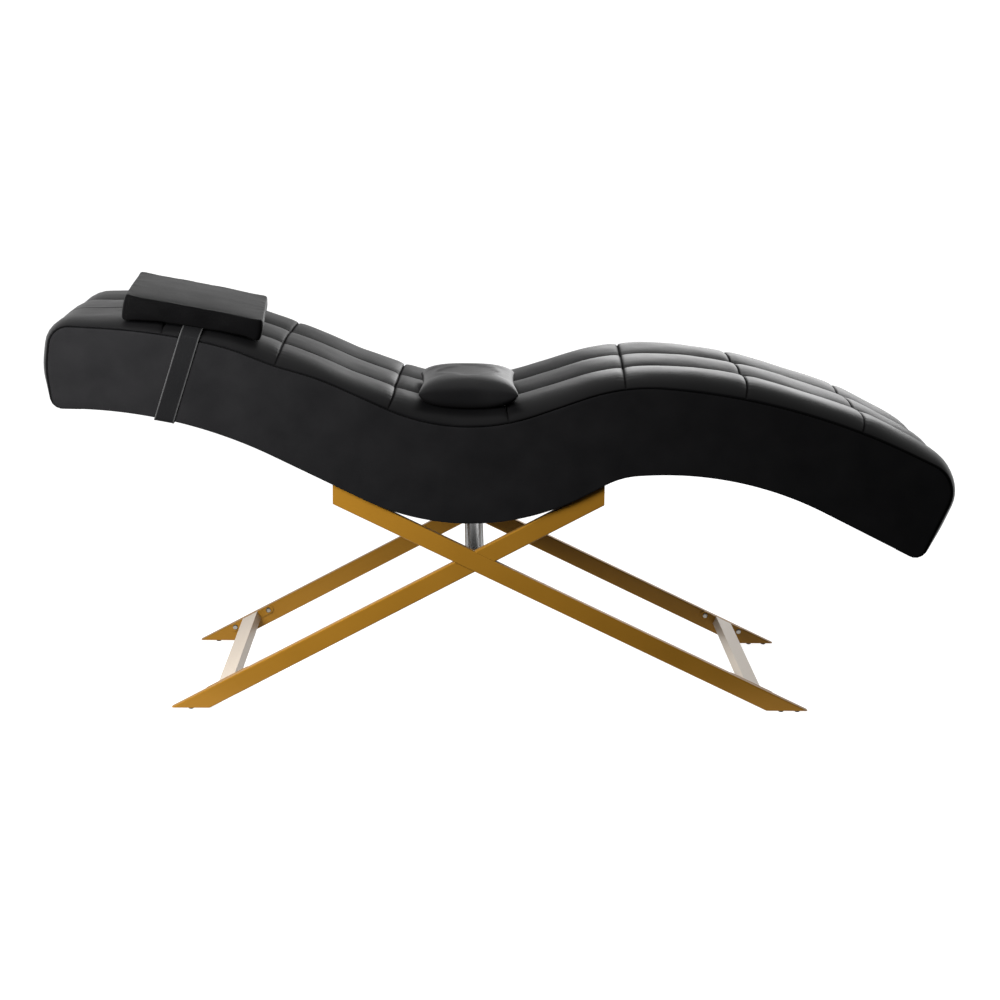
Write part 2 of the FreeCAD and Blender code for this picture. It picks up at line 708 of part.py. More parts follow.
def make_lumbar(skin, lowest):
    """Knife-edge pillow in the seat's dip: two arcs per section, thin at the short edges."""
    frame = top_frame(LUMBAR_STATION)
    base = lowest + LUMBAR_UNDER
    sections = []
    for share in LUMBAR_SECTIONS:
        full = LUMBAR_EDGE_SHARE + (1 - LUMBAR_EDGE_SHARE) * (1 - share * share)
        half = LUMBAR_LENGTH / 2 - LUMBAR_DRAW * (1 - share * share) - skin
        top = LUMBAR_TOP * full - skin
        under = LUMBAR_UNDER * full - skin
        y = share * (LUMBAR_WIDTH / 2 - skin)
        left = frame.place(y, base, -half)
        right = frame.place(y, base, half)
        sections.append(Part.Wire([
            Part.Arc(left, frame.place(y, base + top, 0), right).toShape(),
            Part.Arc(right, frame.place(y, base - under, 0), left).toShape(),
        ]))
    pillow = Part.makeLoft(sections, True, False)
    pillow.translate(Vector(0, LUMBAR_SIDE, 0))
    return pillow


def settle_lumbar(quilt):
    """Height of the lumbar pillow's lowest point once it is let down on the quilt."""
    lowest = LUMBAR_DROP
    for _ in range(LUMBAR_STEPS):
        lowest -= make_lumbar(0.0, lowest).distToShape(quilt)[0] - LUMBAR_GAP
    return lowest


os.makedirs("parts", exist_ok=True)

# X frames
arm_caps = []
foot_caps = []
bars = {}
for side_name, low_y in (("near", -base_half_width), ("far", inner_face)):
    tubes, arms, feet = make_frame(low_y)
    arm_caps += arms
    foot_caps += feet
    for bar_name, tube in tubes.items():
        bars[side_name + "_" + bar_name] = tube

# Floor crossbars, screwed to the inner walls of the legs
screws = []
for end_name, tip, up, under, leg in (
        ("head", head_tip, short_down * -1, short_under, "lower_leg"),
        ("foot", foot_tip, long_down * -1, long_under, "long_bar")):
    crossbar, plates, places = make_floor_crossbar(tip, up, under)
    save(end_name + "_floor_crossbar", crossbar)
    save(end_name + "_crossbar_plates", plates)
    for side_name, outward in (("near", -1), ("far", 1)):
        for place in places:
            screws.append(make_screw(place, outward))
            start = Vector(place.x, outward * inner_face, place.z)
            hole = rod(start, Vector(0, outward, 0), SCREW_RADIUS + HOLE_CLEARANCE, BAR_WALL)
            bars[side_name + "_" + leg] = bars[side_name + "_" + leg].cut(hole)
save("crossbar_screws", group(screws))
for name, bar in bars.items():
    save(name, bar)
save("arm_end_caps", group(arm_caps))
save("foot_end_caps", group(foot_caps))
save("glides", make_glides())
save("center_tube", make_center_tube())

# Body: covers, foam, deck and carcass from outlines moved inwards
cover_inner = HALF_WIDTH - SIDE_COVER
rib_inner = cover_inner - RIB
under_quilt = slab(OUTLINE, -2 * HALF_WIDTH, 2 * HALF_WIDTH)
over_bottom = slab(inset(under=BOTTOM_COVER), -cover_inner, cover_inner)
under_foam = slab(inset(FOAM, END_FOAM, BOTTOM_COVER), -cover_inner, cover_inner)
under_deck = slab(inset(FOAM + DECK, END_FOAM, BOTTOM_COVER), -cover_inner, cover_inner)
carcass = inset(FOAM + DECK, END_FOAM + END_BOARD, BOTTOM_COVER)
inside = slab(carcass, -cover_inner, cover_inner)
bottom = slab(OUTLINE, -cover_inner, cover_inner).cut(over_bottom)
end_boards = sorted(under_deck.cut(inside).Solids, key=lambda solid: solid.CenterOfMass.x)

bolts = []
nuts = []
for end_name, arm_end, inward, under in (
        ("head", head_arm_end, long_down, long_under),
        ("foot", foot_arm_end, short_down, short_under)):
    rail, axes = make_rail(arm_end, inward, under)
    save(end_name + "_seat_rail", drill(rail, axes, under, BOLT_RADIUS + HOLE_CLEARANCE))
    save(end_name + "_mount_batten", make_mount_batten(axes, inward, under, inside))
    bottom = drill(bottom, axes, under, BOLT_RADIUS + HOLE_CLEARANCE)
    bolts += [make_bolt(axis, under) for axis in axes]
    nuts += [make_tee_nut(axis, under) for axis in axes]
save("seat_bolts", group(bolts))
save("tee_nuts", group(nuts))

save("near_side_cover", make_side_cover(-1))
save("far_side_cover", make_side_cover(1))
save("near_side_rib", slab(carcass, -cover_inner, -rib_inner))
save("far_side_rib", slab(carcass, rib_inner, cover_inner))
save("bottom_cover", bottom)
save("seat_foam", over_bottom.cut(under_foam))
save("deck_board", under_foam.cut(under_deck))
save("head_end_board", end_boards[0])
save("foot_end_board", end_boards[-1])
save("deck_battens", make_deck_battens(inside))
quilt = make_quilt(under_quilt)
save("quilted_cover", quilt)

# Pillows
pillow_foam = make_head_pillow(SKIN)
save("head_pillow_foam", pillow_foam)
save("head_pillow_cover", make_head_pillow(0.0).cut(pillow_foam))
save("head_strap", make_strap(Part.Face(Part.Wire(rounded_edges(OUTLINE, True)))))
lowest = settle_lumbar(quilt)
lumbar_filling = make_lumbar(SKIN, lowest)
save("lumbar_filling", lumbar_filling)
save("lumbar_cover", make_lumbar(0.0, lowest).cut(lumbar_filling))
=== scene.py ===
"""Looks of the wave-shaped lash chair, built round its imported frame.

Blender works in metres; the sizes below are in millimetres.
"""
import math
import bmesh
import bpy
import numpy as np
from mathutils import Matrix, Vector
from mathutils.geometry import delaunay_2d_cdt


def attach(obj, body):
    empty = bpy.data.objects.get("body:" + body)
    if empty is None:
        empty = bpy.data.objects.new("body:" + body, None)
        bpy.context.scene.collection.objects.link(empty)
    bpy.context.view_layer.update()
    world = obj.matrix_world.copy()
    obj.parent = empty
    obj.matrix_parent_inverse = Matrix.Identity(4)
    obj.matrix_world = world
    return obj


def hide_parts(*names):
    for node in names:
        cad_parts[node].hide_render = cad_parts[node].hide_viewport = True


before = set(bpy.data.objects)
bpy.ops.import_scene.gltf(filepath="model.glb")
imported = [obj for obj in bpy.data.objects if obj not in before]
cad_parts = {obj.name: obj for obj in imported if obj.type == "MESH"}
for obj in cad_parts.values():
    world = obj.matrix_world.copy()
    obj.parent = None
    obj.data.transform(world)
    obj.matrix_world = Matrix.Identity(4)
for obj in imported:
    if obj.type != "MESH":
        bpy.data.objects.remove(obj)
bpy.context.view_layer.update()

MM = 0.001

# Side outline of the upholstered body, as in the solids: corners (x, z, radius)
HALF_WIDTH = 285.0
CRADLE = np.array([-57.0, 340.0])
HEAD_SLOPE = math.radians(25.7)
KNEE_SLOPE = math.radians(28.2)
HEAD_CORNER = 42.0
BOTTOM_CORNER = 25.0
HEAD_TOP = (-910.0, 802.0, HEAD_CORNER)
HEAD_BOTTOM = (-910.0, 632.0, BOTTOM_CORNER)
HEAD_BOW = (-921.0, 714.0, 200.0)   # the padded end bows out between its corners
TOP_TURNS = [(-566.0, 786.0, 1297.0), (-90.0, 572.0, 406.0), (244.0, 690.0, 403.0), (596.0, 663.0, 1440.0)]
FOOT_TOP = (939.0, 502.0, 64.0)
FOOT_BOTTOM = (860.0, 327.0, BOTTOM_CORNER)
SHIN_UNDER = (483.0, 515.0, 720.0)
HEAD_UNDER_REACH = 668.0    # from the cradle's corner up to the next ones
KNEE_UNDER_REACH = 338.0
head_under = CRADLE + HEAD_UNDER_REACH * np.array([-math.cos(HEAD_SLOPE), math.sin(HEAD_SLOPE)])
knee_under = CRADLE + KNEE_UNDER_REACH * np.array([math.cos(KNEE_SLOPE), math.sin(KNEE_SLOPE)])
UNDER_TURNS = [SHIN_UNDER, (*knee_under, 165.0), (*CRADLE, 500.0), (*head_under, 950.0)]
OUTLINE = [HEAD_TOP, *TOP_TURNS, FOOT_TOP, FOOT_BOTTOM, *UNDER_TURNS, HEAD_BOTTOM, HEAD_BOW]
HEAD_START = 36.85          # stations along the top begin this far before the end of the head corner

# Quilt: three rows of eight panels, heights above the side seam
ROW_HALF = 95.0
FIRST_PANEL = 212.0
PANEL_PITCH = 246.0
SEAM_LINES = (-HALF_WIDTH, -ROW_HALF, ROW_HALF, HALF_WIDTH)
SEAM_SHIFTS = [             # how far each cross seam is sewn towards the foot end, on those four lines
    (10.0, 6.0, 6.0, 8.0), (-1.0, -5.0, -4.0, 5.0), (-3.0, -2.0, 3.0, 11.0), (0.0, 2.0, 5.0, 8.0),
    (0.0, 8.0, 15.0, 20.0), (-1.0, 7.0, 10.0, 6.0), (2.0, 10.0, 9.0, 13.0),
]
CREST = 26.0
TOP_SHARES = [              # padding at stations along the top, as shares of the crest
    (82.0, 0.70), (132.0, 0.90), (224.0, 0.94), (350.0, 0.96), (470.0, 0.77), (600.0, 0.73),
    (716.0, 1.16), (800.0, 1.31), (962.0, 1.23), (1080.0, 1.05), (1208.0, 0.95), (1330.0, 1.2),
    (1454.0, 1.27), (1580.0, 1.09), (1700.0, 1.15), (1780.0, 0.94), (1817.0, 0.91),
]
HEAD_SHARES = (0.04, 0.06, 0.34, 0.68, 0.62, 0.5, 0.6)      # from the wrapped edge up round the head end
FOOT_SHARES = (0.74, 0.52, 0.6, 0.66, 0.42, 0.08, 0.04)     # and down round the foot end
SHARE_BLUR = 18.0           # the padding evens out over this length
ROW_GROOVE = 0.52           # height left between two rows
ROW_FULLNESS = 1.35
SEAM_GROOVE = 0.82          # height left at a cross seam
SEAM_ROUND = 24.0           # a panel's end rounds over within this length
SEAM_FULLNESS = 1.7
NOTCH_DEPTH = 3.2           # the stitched line itself
NOTCH_WIDTH = 1.8
NOTCH_FADE = 0.5            # share of its depth lost at the side seam
CREASE_WIDTH = 2.6          # the matt stitched line
FLAT_STATIONS = (160.0, 300.0)  # nearer the head end than these, the near row's seam lies flat
FLAT_FALL = 0.2             # and the near row falls away by this share
FLAT_NOTCH = 0.85           # share of the row seam's depth lost there
EDGE_TURN = math.radians(72)    # how far the outer rows turn over before the side seam cuts them off
EDGE_POWER = 2.6            # and how full they turn
EDGE_ROUND = 2 / EDGE_POWER
EDGE_TUCKS = ((3.5, -2.5), (11.0, -9.0))    # tucked edge: distance inwards, height
UNDER_WRAP = 34.0           # the cover goes this far round under both ends

# Side panels
PANEL_TUCK = 3.2            # their rims lie this far below the quilt's edge
PANEL_PROFILE = [           # distance inside the outline, depth below the outer face
    (7.0, 13.0), (1.2, 12.0), (0.3, 7.5), (0.1, 3.0), (0.3, 1.4), (0.8, 0.6), (1.8, 0.25), (4.0, 0.1),
    (8.0, 0.05), (13.0, 0.02), (18.0, 0.0),
]
PANEL_STEP = 11.0           # spacing of points round the rim
PANEL_CELL = 16.0           # and of those inside it
PANEL_MARGIN = 9.0
SAG = (455.0, 72.0, 8.0)    # the side seam sags behind the head cushion: station, half length, depth
SAG_STATIONS = np.arange(200.0, 720.0, 2.0)
SAG_FADE = 60.0             # a panel's points nearer than this to the seam sag with it

# Head cushion and strap
CUSHION_STATION = 267.0
CUSHION_SIDE = -66.0
CUSHION_TURN = math.radians(3.8)
CUSHION_LENGTH = 280.0
CUSHION_BACK = 4.0          # its middle lies this far towards the head end
CUSHION_WIDTH = 400.0
CUSHION_HEAD = 37.0
CUSHION_NECK = 33.5
CUSHION_FLOOR = 28.2
CUSHION_CORNER = 13.0
CUSHION_CROWN = 5.0
CUSHION_BELLY = 3.0         # the band bulges out by this much
CUSHION_BAND_ROWS = 9
CUSHION_DROOP = (8.5, 7.0)  # the underside bends down by this much at the head and neck ends
CUSHION_ROLL = 1.5          # its lower seam is rolled up by this much
CUSHION_LIP = 2.2           # its top rounds over at the rim by this much
CUSHION_PRESSURE = 1.0
CUSHION_SHRINK = 0.012
CUSHION_GROWTH = 2.5        # the plumping moves its points by less than this
STRAP_STATION = 277.0
STRAP_TILT = math.radians(17.5)
STRAP_WIDTH = 40.0
STRAP = 1.2
STRAP_CLEAR = 1.4
STRAP_LOW = -175.6          # inner face of the strap below the body
STRAP_CORNER = 6.0
STRAP_SHARES = (0.33, 0.66, 0.76, 0.80, 0.84, 0.93, 0.985, 1.0)     # points from its middle to a hem

# Loose lumbar cushion
LUMBAR_STATION = 867.0
LUMBAR_SIDE = -121.0
LUMBAR_LENGTH = 202.0
LUMBAR_WIDTH = 300.0
LUMBAR_TOP = 32.0
LUMBAR_UNDER = 49.0
LUMBAR_TOP_BOW = ((2.6, 2.4), (5.0, 2.5))    # flatness and fullness along the chair, then across it
LUMBAR_UNDER_BOW = ((2.1, 2.1), (3.0, 3.0))
LUMBAR_DRAW = 0.05          # sides drawn in between the corners, as a share
LUMBAR_CLEAR = 3.4          # left below the pressed underside
LUMBAR_SINK = 25.7          # its weight flattens the underside on the quilt by this much
LUMBAR_GIVE = 3.0           # and how gently
LUMBAR_PRESSURE = 1.5
LUMBAR_SHRINK = 0.02
LUMBAR_GROWTH = 1.5

# Cloth on the underside
DUST_HALF_WIDTH = 274.0
DUST_CLOTH = 1.0
DUST_CLEAR = 0.3
DUST_SLACK = 0.3
DUST_TUCK = 10.0            # tucked in at each end

PLUMP_FRAMES = 20           # length of a cloth run


class Line:
    """Lines and tangent arcs through corners (x, z, radius), measured by length."""

    def __init__(self, corners, closed=False):
        count = len(corners)
        self.runs = []
        self.arcs = {}
        self.length = 0.0
        ends = [self.rounded(corners, index, closed) for index in range(count)]
        for index in range(count):
            if len(ends[index]) == 5:
                first, _, centre, radius, sweep = ends[index]
                self.arcs[index] = (self.length, self.length + radius * abs(sweep))
                self.add("arc", (centre, first - centre, sweep), radius * abs(sweep))
            if closed or index < count - 1:
                start = ends[index][1]
                finish = ends[(index + 1) % count][0]
                self.add("line", (start, finish - start), float(np.linalg.norm(finish - start)))

    def add(self, kind, data, length):
        self.runs.append((kind, data, self.length, length))
        self.length += length

    @staticmethod
    def rounded(corners, index, closed):
        point = np.array(corners[index][:2], float)
        radius = corners[index][2]
        if radius <= 0 or (not closed and index in (0, len(corners) - 1)):
            return point, point
        back = np.array(corners[index - 1][:2], float) - point
        on = np.array(corners[(index + 1) % len(corners)][:2], float) - point
        back /= np.linalg.norm(back)
        on /= np.linalg.norm(on)
        half = math.acos(float(np.clip(back @ on, -1, 1))) / 2
        reach = radius / math.tan(half)
        inward = (back + on) / np.linalg.norm(back + on)
        centre = point + inward * radius / math.sin(half)
        turn = back[1] * on[0] - back[0] * on[1]
        sweep = math.copysign(math.pi - 2 * half, turn)
        return point + back * reach, point + on * reach, centre, radius, sweep

    @staticmethod
    def spots(kind, data, share):
        """Points and directions at shares of one run."""
        share = np.asarray(share, float)[:, None]
        if kind == "line":
            start, span = data
            along = np.repeat((span / np.linalg.norm(span))[None], len(share), 0)
            return start + span * share, along
        centre, arm, sweep = data
        turn = share * sweep
        cos, sin = np.cos(turn), np.sin(turn)
        swung = np.hstack([cos * arm[0] - sin * arm[1], sin * arm[0] + cos * arm[1]])
        along = np.hstack([-swung[:, 1:], swung[:, :1]]) * math.copysign(1, sweep)
        return centre + swung, along / np.linalg.norm(along, axis=1, keepdims=True)

    def at(self, lengths):
        """Points, directions along and directions out (to the left of travel) at these lengths."""
        lengths = np.clip(np.asarray(lengths, float), 0, self.length)
        points = np.zeros((len(lengths), 2))
        along = np.zeros((len(lengths), 2))
        for kind, data, start, length in self.runs:
            here = (lengths >= start - 1e-9) & (lengths <= start + length + 1e-9)
            if here.any():
                points[here], along[here] = self.spots(kind, data, (lengths[here] - start) / length)
        return points, along, np.column_stack([-along[:, 1], along[:, 0]])


def inset(corners, shifts):
    """Closed clockwise outline moved inwards, by one distance for the stretch after each corner."""
    moved = []
    for index, corner in enumerate(corners):
        pair = np.array([shifts[index - 1], shifts[index]])
        before = np.array(corners[index - 1][:2])
        here = np.array(corner[:2])
        after = np.array(corners[(index + 1) % len(corners)][:2])
        into = (here - before) / np.linalg.norm(here - before)
        onto = (after - here) / np.linalg.norm(after - here)
        in_normal = np.array([into[1], -into[0]])
        out_normal = np.array([onto[1], -onto[0]])
        hollow = into[0] * onto[1] - into[1] * onto[0] > 0
        radius = corner[2] + (pair.min() if hollow else -pair.max())
        moved.append((*(here + np.linalg.solve([in_normal, out_normal], pair)), max(radius, 0.5)))
    return moved


def wander(a, b, size, seed):
    """Smooth uneven height of about -1 to 1, from a few crossed waves."""
    total = 0.0
    for index in range(5):
        turn = 2.399 * (index + seed)
        step = 2 * math.pi / size * (0.7 + 0.17 * index)
        total = total + np.sin(step * (a * math.cos(turn) + b * math.sin(turn)) + 1.7 * seed + index * index)
    return total / 3.0


def smooth(low, high, value):
    share = np.clip((value - low) / (high - low), 0, 1)
    return share * share * (3 - 2 * share)


def rounded_end(distance, reach, fullness=1.5):
    """0 on a seam, 1 past reach, with a puffed round-over between."""
    rest = 1 - np.clip(distance / reach, 0, 1)
    return (1 - rest ** 2.2) ** (1 / fullness)


def make_piece(name, points, faces, body, slot_name, finish, stands_for=()):
    """Smooth-shaded mesh piece from points in millimetres."""
    mesh = bpy.data.meshes.new(name)
    places = [tuple(point) for point in np.asarray(points, float) * MM]
    mesh.from_pydata(places, [], [tuple(face) for face in faces])
    shell = bmesh.new()
    shell.from_mesh(mesh)
    bmesh.ops.recalc_face_normals(shell, faces=shell.faces)
    shell.to_mesh(mesh)
    shell.free()
    mesh.polygons.foreach_set("use_smooth", [True] * len(mesh.polygons))
    mesh.materials.append(finish)
    piece = bpy.data.objects.new(name, mesh)
    bpy.context.collection.objects.link(piece)
    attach(piece, body)
    if stands_for:
        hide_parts(*stands_for)
    return piece


def grid_faces(rows, columns, offset=0, around=False, flip=False):
    """Quads of a grid of points, row by row; around closes each row on itself."""
    faces = []
    last = columns if around else columns - 1
    for row in range(rows - 1):
        for column in range(last):
            near = offset + row * columns + column
            side = offset + row * columns + (column + 1) % columns
            face = (near, side, side + columns, near + columns)
            faces.append(face[::-1] if flip else face)
    return faces


# Finishes

class Value:
    """A number socket; arithmetic on it adds Math nodes."""

    def __init__(self, tree, socket):
        self.tree = tree
        self.socket = socket

    def maths(self, operation, first, second):
        node = self.tree.nodes.new("ShaderNodeMath")
        node.operation = operation
        for socket, value in zip(node.inputs, (first, second)):
            if isinstance(value, Value):
                self.tree.links.new(value.socket, socket)
            else:
                socket.default_value = value
        return Value(self.tree, node.outputs[0])

    def __add__(self, other):
        return self.maths("ADD", self, other)

    def __radd__(self, other):
        return self.maths("ADD", other, self)

    def __sub__(self, other):
        return self.maths("SUBTRACT", self, other)

    def __rsub__(self, other):
        return self.maths("SUBTRACT", other, self)

    def __mul__(self, other):
        return self.maths("MULTIPLY", self, other)

    def __rmul__(self, other):
        return self.maths("MULTIPLY", other, self)

    def __truediv__(self, other):
        return self.maths("DIVIDE", self, other)

    def limited(self, low, high):
        return self.maths("MINIMUM", self.maths("MAXIMUM", self, low), high)


class Finish:
    """One procedural material: its node tree and its main shader."""

    def __init__(self, name):
        self.material = bpy.data.materials.new(name)
        self.material.use_nodes = True
        self.tree = self.material.node_tree
        self.shader = next(node for node in self.tree.nodes if node.type == "BSDF_PRINCIPLED")
        self.place = self.node("ShaderNodeTexCoord")["Object"]

    def set(self, sockets):
        self.fill(self.shader, sockets)

    def fill(self, node, sockets):
        for name, value in sockets.items():
            socket = node.inputs[name]
            if isinstance(value, Value):
                self.tree.links.new(value.socket, socket)
            else:
                socket.default_value = value

    def node(self, kind, settings=None, sockets=None):
        """Any node: its settings first, then its sockets; gives its outputs by name."""
        node = self.tree.nodes.new(kind)
        for name, value in (settings or {}).items():
            if name == "stops":
                for element, (position, colour) in zip(node.color_ramp.elements, value):
                    element.position = position
                    element.color = (*colour, 1)
            else:
                setattr(node, name, value)
        self.fill(node, sockets or {})
        return {output.name: Value(self.tree, output) for output in node.outputs}

    def noise(self, scale, detail, stretch=(1, 1, 1)):
        place = self.node("ShaderNodeMapping", None, {"Vector": self.place, "Scale": stretch})["Vector"]
        sockets = {"Vector": place, "Scale": scale, "Detail": detail}
        return self.node("ShaderNodeTexNoise", None, sockets)["Fac"]

    def cells(self, scale):
        sockets = {"Vector": self.place, "Scale": scale}
        return self.node("ShaderNodeTexVoronoi", {"feature": "F1"}, sockets)["Distance"]

    def attribute(self, name):
        """Number kept with the mesh's points."""
        return self.node("ShaderNodeAttribute", {"attribute_name": name})["Fac"]

    def tint(self, share, dark, light):
        ramp = {"stops": [(0.0, dark), (1.0, light)]}
        return self.node("ShaderNodeValToRGB", ramp, {"Fac": share})["Color"]

    def bump(self, height, distance, strength):
        sockets = {"Height": height, "Distance": distance, "Strength": strength}
        return self.node("ShaderNodeBump", None, sockets)["Normal"]


def leatherette(name, roughness, shade, gloss, hem=0.0, creased=False):
    """Black leatherette, pebbled, unevenly glossy and faintly cloudy; painted grey highlights along hems or
    matt seams if any.
    """
    finish = Finish(name)
    cloud = finish.noise(14.0, 3.0)
    fine = finish.noise(160.0, 2.0)
    pebble = finish.cells(620.0)
    crease = finish.noise(300.0, 2.0, (1.0, 1.6, 1.0))
    dark = (0.0060 * shade, 0.0060 * shade, 0.0064 * shade)
    light = (0.0135 * shade, 0.0132 * shade, 0.0138 * shade)
    share = cloud
    # Painted highlight: the hem attribute lightens the base colour to grey along the strap's edges, where
    # they would catch the light.
    if hem:
        light = (hem, hem, hem)
        share = 0.04 * cloud + finish.attribute("hem")
    uneven = roughness - 0.06 + 0.08 * cloud + 0.05 * fine
    if creased:
        uneven = uneven + 0.5 * finish.attribute("crease")
    finish.set({
        "Base Color": finish.tint(share, dark, light),
        "Roughness": uneven,
        "Normal": finish.bump(0.65 * pebble + 0.35 * crease, 0.00022, 0.35),
        "Specular IOR Level": gloss,
    })
    return finish.material


def satin_gold():
    """Gold lacquer on steel tube: fine drawn lines and a slightly uneven satin."""
    finish = Finish("satin_gold")
    cloud = finish.noise(9.0, 3.0)
    speck = finish.noise(900.0, 2.0)
    finish.set({
        "Base Color": finish.tint(cloud, (0.24, 0.113, 0.0112), (0.288, 0.137, 0.0146)),
        "Roughness": 0.36 + 0.1 * cloud,
        "Metallic": 0.35,
        "Specular IOR Level": 0.25,
        "Normal": finish.bump(speck, 0.00006, 0.25),
    })
    return finish.material


def polished(name, dark, light, roughness, metallic=1.0):
    """Polished metal with faint drawn lines across the chair."""
    finish = Finish(name)
    drawn = finish.noise(60.0, 3.0, (14.0, 0.4, 14.0))
    finish.set({
        "Base Color": finish.tint(drawn, dark, light),
        "Roughness": roughness + 0.08 * drawn,
        "Metallic": metallic,
        "Normal": finish.bump(drawn, 0.00004, 0.2),
    })
    return finish.material


def plain(name, dark, light, roughness, scale, grain):
    """Matt paint, plastic or cloth: speckled colour and a fine bump."""
    finish = Finish(name)
    speck = finish.noise(scale, 3.0)
    finish.set({
        "Base Color": finish.tint(speck, dark, light),
        "Roughness": roughness - 0.05 + 0.1 * speck,
        "Normal": finish.bump(speck, grain, 0.4),
    })
    return finish.material


def raw_wood():
    finish = Finish("raw_plywood")
    rings = finish.noise(18.0, 4.0, (1.0, 9.0, 9.0))
    finish.set({
        "Base Color": finish.tint(rings, (0.42, 0.27, 0.14), (0.68, 0.51, 0.32)),
        "Roughness": 0.6 + 0.15 * rings,
        "Normal": finish.bump(rings, 0.0002, 0.3),
    })
    return finish.material


# The quilt, side panels and both cushions are copies of one black leatherette; their shades differ as
# painted light and shade: lighter on the side panels and lumbar cushion, darker on the quilt, darkest on the
# head cushion.
top_leather = leatherette("quilt_leatherette", 0.4, 0.3, 0.22, creased=True)
side_leather = leatherette("side_leatherette", 0.5, 0.6, 0.03)
cushion_leather = leatherette("cushion_leatherette", 0.38, 0.15, 0.06)
lumbar_leather = leatherette("lumbar_leatherette", 0.42, 0.5, 0.34)
# 0.034 is the grey of the painted highlights along the strap's hems.
strap_leather = leatherette("strap_leatherette", 0.45, 0.6, 0.05, 0.034)
gold = satin_gold()
pale_steel = polished("polished_pale_steel", (0.43, 0.36, 0.285), (0.485, 0.41, 0.33), 0.36, 0.3)
dark_chrome = polished("dark_chrome", (0.012, 0.0115, 0.011), (0.022, 0.021, 0.020), 0.22, 0.8)
bright_zinc = polished("bright_zinc", (0.26, 0.25, 0.23), (0.36, 0.35, 0.32), 0.25)
black_paint = plain("black_paint", (0.012, 0.012, 0.012), (0.02, 0.02, 0.02), 0.5, 300.0, 0.00005)
glide_plastic = plain("glide_plastic", (0.014, 0.014, 0.014), (0.026, 0.026, 0.026), 0.55, 500.0, 0.00005)
dust_weave = plain("dust_cloth_weave", (0.008, 0.008, 0.008), (0.024, 0.024, 0.024), 0.85, 900.0, 0.0003)
wood = raw_wood()

NODE_FINISHES = {
    gold: ["near_long_bar", "far_long_bar", "near_upper_arm", "far_upper_arm", "near_lower_leg",
           "far_lower_leg", "arm_end_caps", "foot_end_caps", "head_crossbar_plates", "foot_crossbar_plates"],
    pale_steel: ["head_floor_crossbar", "foot_floor_crossbar"],
    dark_chrome: ["center_tube"],
    bright_zinc: ["crossbar_screws", "seat_bolts", "tee_nuts"],
    black_paint: ["head_seat_rail", "foot_seat_rail"],
    glide_plastic: ["glides"],
    wood: ["near_side_rib", "far_side_rib", "deck_board", "head_end_board", "foot_end_board",
           "deck_battens", "head_mount_batten", "foot_mount_batten"],
}
for finish, names in NODE_FINISHES.items():
    for name in names:
        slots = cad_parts[name].material_slots
        for slot in slots:
            slot.material = finish


# Quilted top, wrapped round both ends

def wrap_start(corner, toward):
    """Point on the underside where the wrapped cover ends."""
    corner = np.array(corner[:2])
    along = np.array(toward[:2]) - corner
    return (*(corner + along / np.linalg.norm(along) * (BOTTOM_CORNER + UNDER_WRAP)), 0.0)


QUILT_CORNERS = [
    wrap_start(HEAD_BOTTOM, head_under), HEAD_BOTTOM, HEAD_BOW, HEAD_TOP,
    *TOP_TURNS,
    FOOT_TOP, FOOT_BOTTOM, wrap_start(FOOT_BOTTOM, SHIN_UNDER),
]
quilt_line = Line(QUILT_CORNERS)
FOOT_CORNER = len(QUILT_CORNERS) - 3
TOP_ZERO = quilt_line.arcs[3][1] - HEAD_START
cross_seams = TOP_ZERO + FIRST_PANEL + PANEL_PITCH * np.arange(len(SEAM_SHIFTS))


def top_spot(station):
    """Point, direction along and direction out of the side seam at a station of the top."""
    points, along, out = quilt_line.at([TOP_ZERO + station])
    return points[0], along[0], out[0]


def seam_sag(stations):
    """How far the side seam is pulled down at stations of the top."""
    middle, reach, depth = SAG
    return depth * np.exp(-((stations - middle) / reach) ** 2)


def spaced(seams, low, high, reach, step):
    """Sample places: crowded towards each seam, evenly spaced between."""
    close = np.array([0, 0.7, 1.5, 2.5, 4.0, 6.0, 9.0, 13.0, 18.0, 24.0, 31.0, 39.0])
    close = close[close < reach]
    places = [low, high]
    for seam in seams:
        places += list(seam - close) + list(seam + close)
    places = np.array(sorted(place for place in places if low <= place <= high))
    filled = [places[0]]
    for place in places[1:]:
        gap = place - filled[-1]
        if gap < 0.05:
            continue
        for _ in range(1, math.ceil(gap / step)):
            filled.append(filled[-1] + gap / math.ceil(gap / step))
        filled.append(place)
    return np.array(filled)


def quilt_share(lengths):
    """Height share along the quilt, before its cross seams: full on top, tight round the ends."""
    arcs = quilt_line.arcs
    low_head, high_head = arcs[1], arcs[3]
    high_foot, low_foot = arcs[FOOT_CORNER], arcs[FOOT_CORNER + 1]
    places = [
        0, *low_head, low_head[1] * 0.5 + high_head[0] * 0.5, high_head[0], sum(high_head) / 2, high_head[1],
        *[TOP_ZERO + station for station, share in TOP_SHARES],
        high_foot[0], sum(high_foot) / 2, high_foot[1], high_foot[1] * 0.5 + low_foot[0] * 0.5, *low_foot,
        quilt_line.length,
    ]
    shares = [*HEAD_SHARES, *[share for station, share in TOP_SHARES], *FOOT_SHARES]
    blur = np.linspace(-SHARE_BLUR, SHARE_BLUR, 9)
    return np.mean([np.interp(lengths + shift, places, shares) for shift in blur], axis=0)


